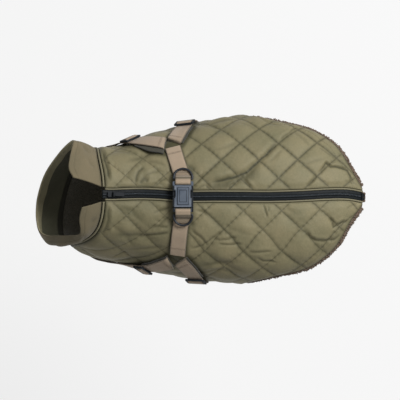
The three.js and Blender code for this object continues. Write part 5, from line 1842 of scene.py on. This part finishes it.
def split_across(piece, axis, places):
    """Cuts the faces of a piece at places along an axis, in millimetres, so that they can be coloured."""
    mesh = bmesh.new()
    mesh.from_mesh(piece.data)
    normal = Vector((axis == 0, axis == 1, axis == 2))
    for place in places:
        everything = mesh.verts[:] + mesh.edges[:] + mesh.faces[:]
        bmesh.ops.bisect_plane(mesh, geom=everything, plane_co=normal * place * MM, plane_no=normal)
    mesh.to_mesh(piece.data)
    mesh.free()


SIDE_DARK, WAIST, WINDOW = 13.6, 12.0, (-4.5, 9.5)  # painted shade on the socket's sides and waist, and its side windows
PANEL_HALF, BODY_TOP = 9, BUCKLE_HEIGHT + BUCKLE_THICK / 2
STEEP = 0.6  # faces whose normal rises less than this are walls
PRONG_OUT, PRONG_END, PRONG_HALF_THICK = 11, 15, 4
WINDOW_MIDDLE, WINDOW_HALF, WINDOW_IN = 2.6, 7, 9.5


def on_prong(at, up):
    return abs(at.x) > PRONG_OUT and at.y < PRONG_END and abs(at.z - BUCKLE_HEIGHT) < PRONG_HALF_THICK


def on_panel_wall(at, up):
    return at.z > BODY_TOP - 0.2 and abs(at.x) < PANEL_HALF and up.z < STEEP


def on_window_wall(at, up):
    return abs(at.x) > WINDOW_IN and abs(at.y - WINDOW_MIDDLE) < WINDOW_HALF and up.z < STEEP


# Painted shade on the buckle: prongs, panel and window walls, sides and waist take the dark plastic.
darken(plug, on_prong)
darken(socket, on_panel_wall)
darken(socket, on_window_wall)
split_across(socket, 0, (-SIDE_DARK, -WAIST, WAIST, SIDE_DARK))
split_across(socket, 1, WINDOW)
darken(socket, lambda at, up: abs(at.x) > SIDE_DARK)
darken(socket, lambda at, up: abs(at.x) > WAIST and WINDOW[0] < at.y < WINDOW[1])


def panel_line(half_width, back, front, height):
    """Painted shade of a groove: thin dark cords round a rectangle on top of the buckle."""
    first, second = (-half_width, back, height), (half_width, back, height)
    third, fourth = (half_width, front, height), (-half_width, front, height)
    strips = []
    for ends in ((first, second), (fourth, third), (first, fourth), (second, third)):
        ups = np.array([(0, 0, 1.0)] * 2)
        strips.append(cord("panel_line", np.array(ends, float), ups, 0.4, DARK_PLASTIC, 6))
    return strips


lines = panel_line(5.6, -10.5, 8.5, BODY_TOP + 1.05) + panel_line(9.2, -15, 12.8, BODY_TOP - 0.15)
socket = joined("buckle_socket_body", [socket] + lines)


def height_beside(y, lift):
    """Height of a surface above the body between the rings, at a distance y from the spine."""
    low, high = 0.0, 60.0
    for _ in range(30):
        turn = (low + high) / 2
        if abs(lifted(0, math.copysign(turn, y), lift)[1]) < abs(y):
            low = turn
        else:
            high = turn
    return float(lifted(0, math.copysign(low, y), lift)[2])


def smooth_path(corners, count):
    """A soft curve near a row of corners, evenly spaced, for webbing that bends but does not fold."""
    points = np.array(corners, float)
    for _ in range(3):
        cut = np.empty((2 * len(points), 2))
        cut[0], cut[-1] = points[0], points[-1]
        cut[1:-1:2] = points[:-1] * 0.75 + points[1:] * 0.25
        cut[2::2] = points[:-1] * 0.25 + points[1:] * 0.75
        points = cut
    run = steps_along(points)
    return blended(np.linspace(0, run[-1], count), run, points)


def buckle_loop(name, side):
    """Webbing from the strap over the ring's straight side, round the buckle's bar and back under."""
    bar, hinge, end = (SIDES[side][word] for word in ("bar", "hinge", "end"))
    z, half = BUCKLE_HEIGHT, WEB_THICK / 2
    cloth = lambda y: height_beside(side * y, LIFT + LAYER) + half
    reach = BUCKLE_BAR / 2 + 0.5 + half
    top = RING_HEIGHT + RING_WIRE + 0.5 + half
    corners = [(y, cloth(y)) for y in (end, (hinge + end) / 2 + 2, hinge + 5.4)]
    corners += [(hinge + 3.4, top - 2.2), (hinge + 1.6, top), (hinge - 1.6, top + 0.3)]
    corners += [(bar + 1.4, z + reach), (bar - 1.4, z + reach), (bar - reach - 0.2, z + 1.2)]
    corners += [(bar - reach - 0.2, z - 1.2), (bar - 1.2, z - reach), (bar + 1.4, z - reach)]
    corners += [(hinge - 1.2, RING_HEIGHT - RING_WIRE - 1.6), (hinge + 2.4, cloth(hinge + 2.4) - 0.2)]
    flat = smooth_path(corners, 56)
    path = turned(np.stack([np.zeros(len(flat)), flat[:, 0], flat[:, 1]], -1), side)
    ahead = unit(np.gradient(path, axis=0))
    across = np.repeat([[1.0, 0, 0]], len(path), 0)
    top_side = np.cross(across, ahead) * (-1 if side > 0 else 1)
    from_middle = flat[:, 0]
    # Painted shade on the loop: at the ring, inside the ring (deeper on the left), and at the bar.
    groove = 0.95 * bell(from_middle - hinge - 1.6, 1.6)  # painted shade where the ring lies
    inside_ring = (0.36 if side > 0 else 0.6) * smooth((from_middle - hinge) / 2)
    at_bar = 0.85 * bell(from_middle - bar + reach, 1.2)
    dark = np.maximum.reduce([groove, inside_ring, at_bar])
    return web_piece(name, path - top_side * half, across, top_side, WEBBING_CLOTH, dark=dark)


loops = {1: buckle_loop("buckle_loop_right_web", 1), -1: buckle_loop("buckle_loop_left_web", -1)}
print("buckle faces:", len(socket.data.polygons) + len(plug.data.polygons))

# %% [markdown]
# ## Stitches on the collar, belly and harness
# The collar's hem and foot, the side seams, the belly hem and the leg holes are topstitched in olive
# thread. The webbing is sewn down across its width, in a paler thread, with smaller stitches.

# %% Stitches on the collar and belly
cloth_stitches = StitchBook()
collar_turns = np.linspace(COLLAR_RIM[0][0] + 1, COLLAR_RIM[-1][0] - 1, 300)


def collar_row(share, above):
    """A row round the collar at a share of its height."""
    normal = collar_normal(collar_turns, share)
    lift = COLLAR_WALL / 2 + collar_crease(collar_turns, share) + above
    cloth_stitches.row(collar_middle(collar_turns, share) + normal * lift[:, None], normal)


collar_row(1 - RIM_STITCH / collar_heights(collar_turns), -0.35)
collar_row(np.full(len(collar_turns), 0.06), 0.05)


def belly_row(along, turn):
    """A row of stitches on the belly cloth."""
    along, turn = np.broadcast_arrays(np.asarray(along, float), np.asarray(turn, float))
    cloth_stitches.row(lifted(along, turn, belly_lift(along, turn) + 0.1), outward(along, turn))


seam_places = np.arange(BODY_START + 3, BELLY_HEM - 2, 2.0)
belly_row(seam_places, SIDE_SEAM_TURN + 2.4)
belly_row(seam_places, 360 - SIDE_SEAM_TURN - 2.4)
belly_row(BELLY_HEM - 8, np.arange(SIDE_SEAM_TURN + 3, 360 - SIDE_SEAM_TURN - 3, 1.0))
for side in (1, -1):
    centre, up, ahead, across = leg_hole_frame(side)
    angle = np.linspace(0, 2 * np.pi, 160)
    circle = centre + leg_hole_circle(LEG_HOLE_RADIUS + 5, angle, ahead, across)
    stations = circle[:, 0] - centre[0] + LEG_HOLE_ALONG
    hole_along, hole_turn = stations.copy(), np.full(len(angle), float(side * LEG_HOLE_TURN))
    for _ in range(12):
        error = circle - on_hoop(hole_along, hole_turn)
        step_along = on_hoop(hole_along + 1, hole_turn) - on_hoop(hole_along, hole_turn)
        step_turn = on_hoop(hole_along, hole_turn + 1) - on_hoop(hole_along, hole_turn)
        hole_along = hole_along + (error * step_along).sum(-1) / (step_along**2).sum(-1)
        hole_turn = hole_turn + (error * step_turn).sum(-1) / (step_turn**2).sum(-1)
    hole_turn = np.where(hole_turn < 0, hole_turn + 360, hole_turn)
    belly_row(hole_along, hole_turn)
cloth_sewing = cloth_stitches.sew("collar_and_belly_stitches", THREAD)

# %% Stitches on the webbing
web_stitches = StitchBook()
stitched_across = np.linspace(-11.5, 11.5, 24)
STITCH_ABOVE = 0.1


def row_across(points, up):
    web_stitches.row(points, np.repeat([up], len(points), 0), 1.9)


def strap_row(name, distance):
    """A row across a strap, at a distance from its start, or from its end where less than 0."""
    rows = STRAPS[name]
    fine, run = measured(rows)
    at = np.interp(distance if distance >= 0 else run[-1] + distance, run, fine)
    centre, _, side, top = (v[0] for v in strap_frames(rows, [at]))
    row_across(centre + side * stitched_across[:, None] + top * (WEB_THICK + STITCH_ABOVE), top)


for name, distance in (("centre_strap_right", -12), ("centre_strap_left", -13.5)):
    strap_row(name, distance)
    strap_row(name, distance + 1.6)
for name in ("chest_strap", "girth_strap"):
    for distance in (6, 7.8, -6, -7.8):
        strap_row(name, distance)
for side in (1, -1):
    end, hinge = SIDES[side]["end"], SIDES[side]["hinge"]
    for y in (end - 1.6, hinge + 6.6):
        height = height_beside(side * y, LIFT + LAYER) + WEB_THICK + STITCH_ABOVE
        points = np.stack(np.broadcast_arrays(stitched_across, y, height), -1)
        row_across(turned(points, side), (0, 0, 1.0))
web_sewing = web_stitches.sew("webbing_stitches", TAUPE_THREAD, 0.0017)

# %% [markdown]
# ## Handing the pieces to the frame
# Every piece rides on a body of the imported model and takes the place of its solids.

# %% Riding and replacing
RIDES = [
    (back_right, "back_right", "shell"), (back_left, "back_left", "shell"), (belly, "belly", "softshell"),
    (collar, "collar", "softshell"), (neck_piping, "neck_piping", "piping"),
    (zip_piping["right"], "zip_piping_right", "piping"), (zip_piping["left"], "zip_piping_left", "piping"),
    (zip_tape, "zip_tape", "zip"), (coil, None, "zip"), (slider, "zip_slider", "zip"),
    (end_tab, "zip_end_tab", "zip"), (fleece, "rear_fleece", "fleece"), (fleece_curls, None, "fleece"),
    (socket, "buckle_socket", "plastic"), (plug, "buckle_plug", "plastic"),
    (loops[1], "buckle_loop_right", "webbing"), (loops[-1], "buckle_loop_left", "webbing"),
    (shell_sewing, None, "shell"), (cloth_sewing, None, "softshell"), (web_sewing, None, "webbing"),
]
RIDES += [(piece, name, "webbing") for name, piece in straps.items()]
RIDES += [(piece, f"adjuster_{word}", "plastic") for word, piece in adjusters.items()]
TURNING = [
    (pull, "zip_pull", "zip", "pull_tab"), (rings[1], "leash_ring_right", "ring", "ring_right"),
    (rings[-1], "leash_ring_left", "ring", "ring_left"),
]
for piece, node, slot, body in [(*row, "coat") for row in RIDES] + TURNING:
    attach(piece, body)
    if node:
        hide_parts(node)
print("pieces handed over:", len(RIDES + TURNING))

# %% [markdown]
# ## Floor, light and camera
# The coat is held up by its wearer, so the plain pale floor lies far below it and takes no dark
# shadow. One broad soft lamp stands at the upper right of the picture, as the shading on the cloth
# shows, and a pale sky fills the rest. The camera looks almost straight down.

# %% Floor
FLOOR_HALF, FLOOR_DROP, PAPER_GLOW, SKY = 8, 0.9, 0.715, 0.42
floor_mesh = bpy.data.meshes.new("studio_floor")
corner_signs = ((-1, -1), (1, -1), (1, 1), (-1, 1))
floor_corners = [(x * FLOOR_HALF, y * FLOOR_HALF, -FLOOR_DROP) for x, y in corner_signs]
floor_mesh.from_pydata(floor_corners, [], [(0, 1, 2, 3)])
floor = in_scene("studio_floor", floor_mesh)
paper, s, shader = new_material("pale_paper")
for key, value in (
    ("Base Color", (0.2, 0.2, 0.2, 1)), ("Roughness", 1.0), ("Specular IOR Level", 0.0),
    ("Emission Color", (1, 1, 1, 1)), ("Emission Strength", PAPER_GLOW),
):
    shader.inputs[key].default_value = value
floor_mesh.materials.append(paper)
print("floor lies", FLOOR_DROP, "m below the back")


# %% Lamp and sky
LAMP_PLACE, LAMP_TARGET = Vector((1.1, 0.65, 1.5)), Vector((0.05, 0, -0.05))
window_light = bpy.data.lights.new("window_light", "AREA")
window_light.shape, window_light.size, window_light.energy = "DISK", 0.9, 54
lamp = in_scene("window_light", window_light)
lamp.location = LAMP_PLACE
lamp.rotation_euler = (LAMP_TARGET - LAMP_PLACE).to_track_quat("-Z", "Y").to_euler()
world = bpy.data.worlds.new("pale_sky")
world.use_nodes = True
sky = world.node_tree.nodes["Background"]
sky.inputs["Color"].default_value = (1, 1, 1, 1)
sky.inputs["Strength"].default_value = SKY
bpy.context.scene.world = world
bpy.context.scene.view_settings.view_transform = "Standard"
print("lamp power:", window_light.energy, "W")

# %% Camera
ELEVATION = math.radians(85)
VIEW_WIDTH = 0.64
VIEW_CENTRE = Vector((0.0272, -0.0056, 0))
towards_camera = Vector((0, -math.cos(ELEVATION), math.sin(ELEVATION)))
camera_data = bpy.data.cameras.new("overhead_camera")
camera_data.type, camera_data.ortho_scale = "ORTHO", VIEW_WIDTH
camera = in_scene("overhead_camera", camera_data)
camera.location = VIEW_CENTRE + towards_camera * 2
camera.rotation_euler = (-towards_camera).to_track_quat("-Z", "Y").to_euler()
bpy.context.scene.camera = camera
print("width of the view:", VIEW_WIDTH, "m")
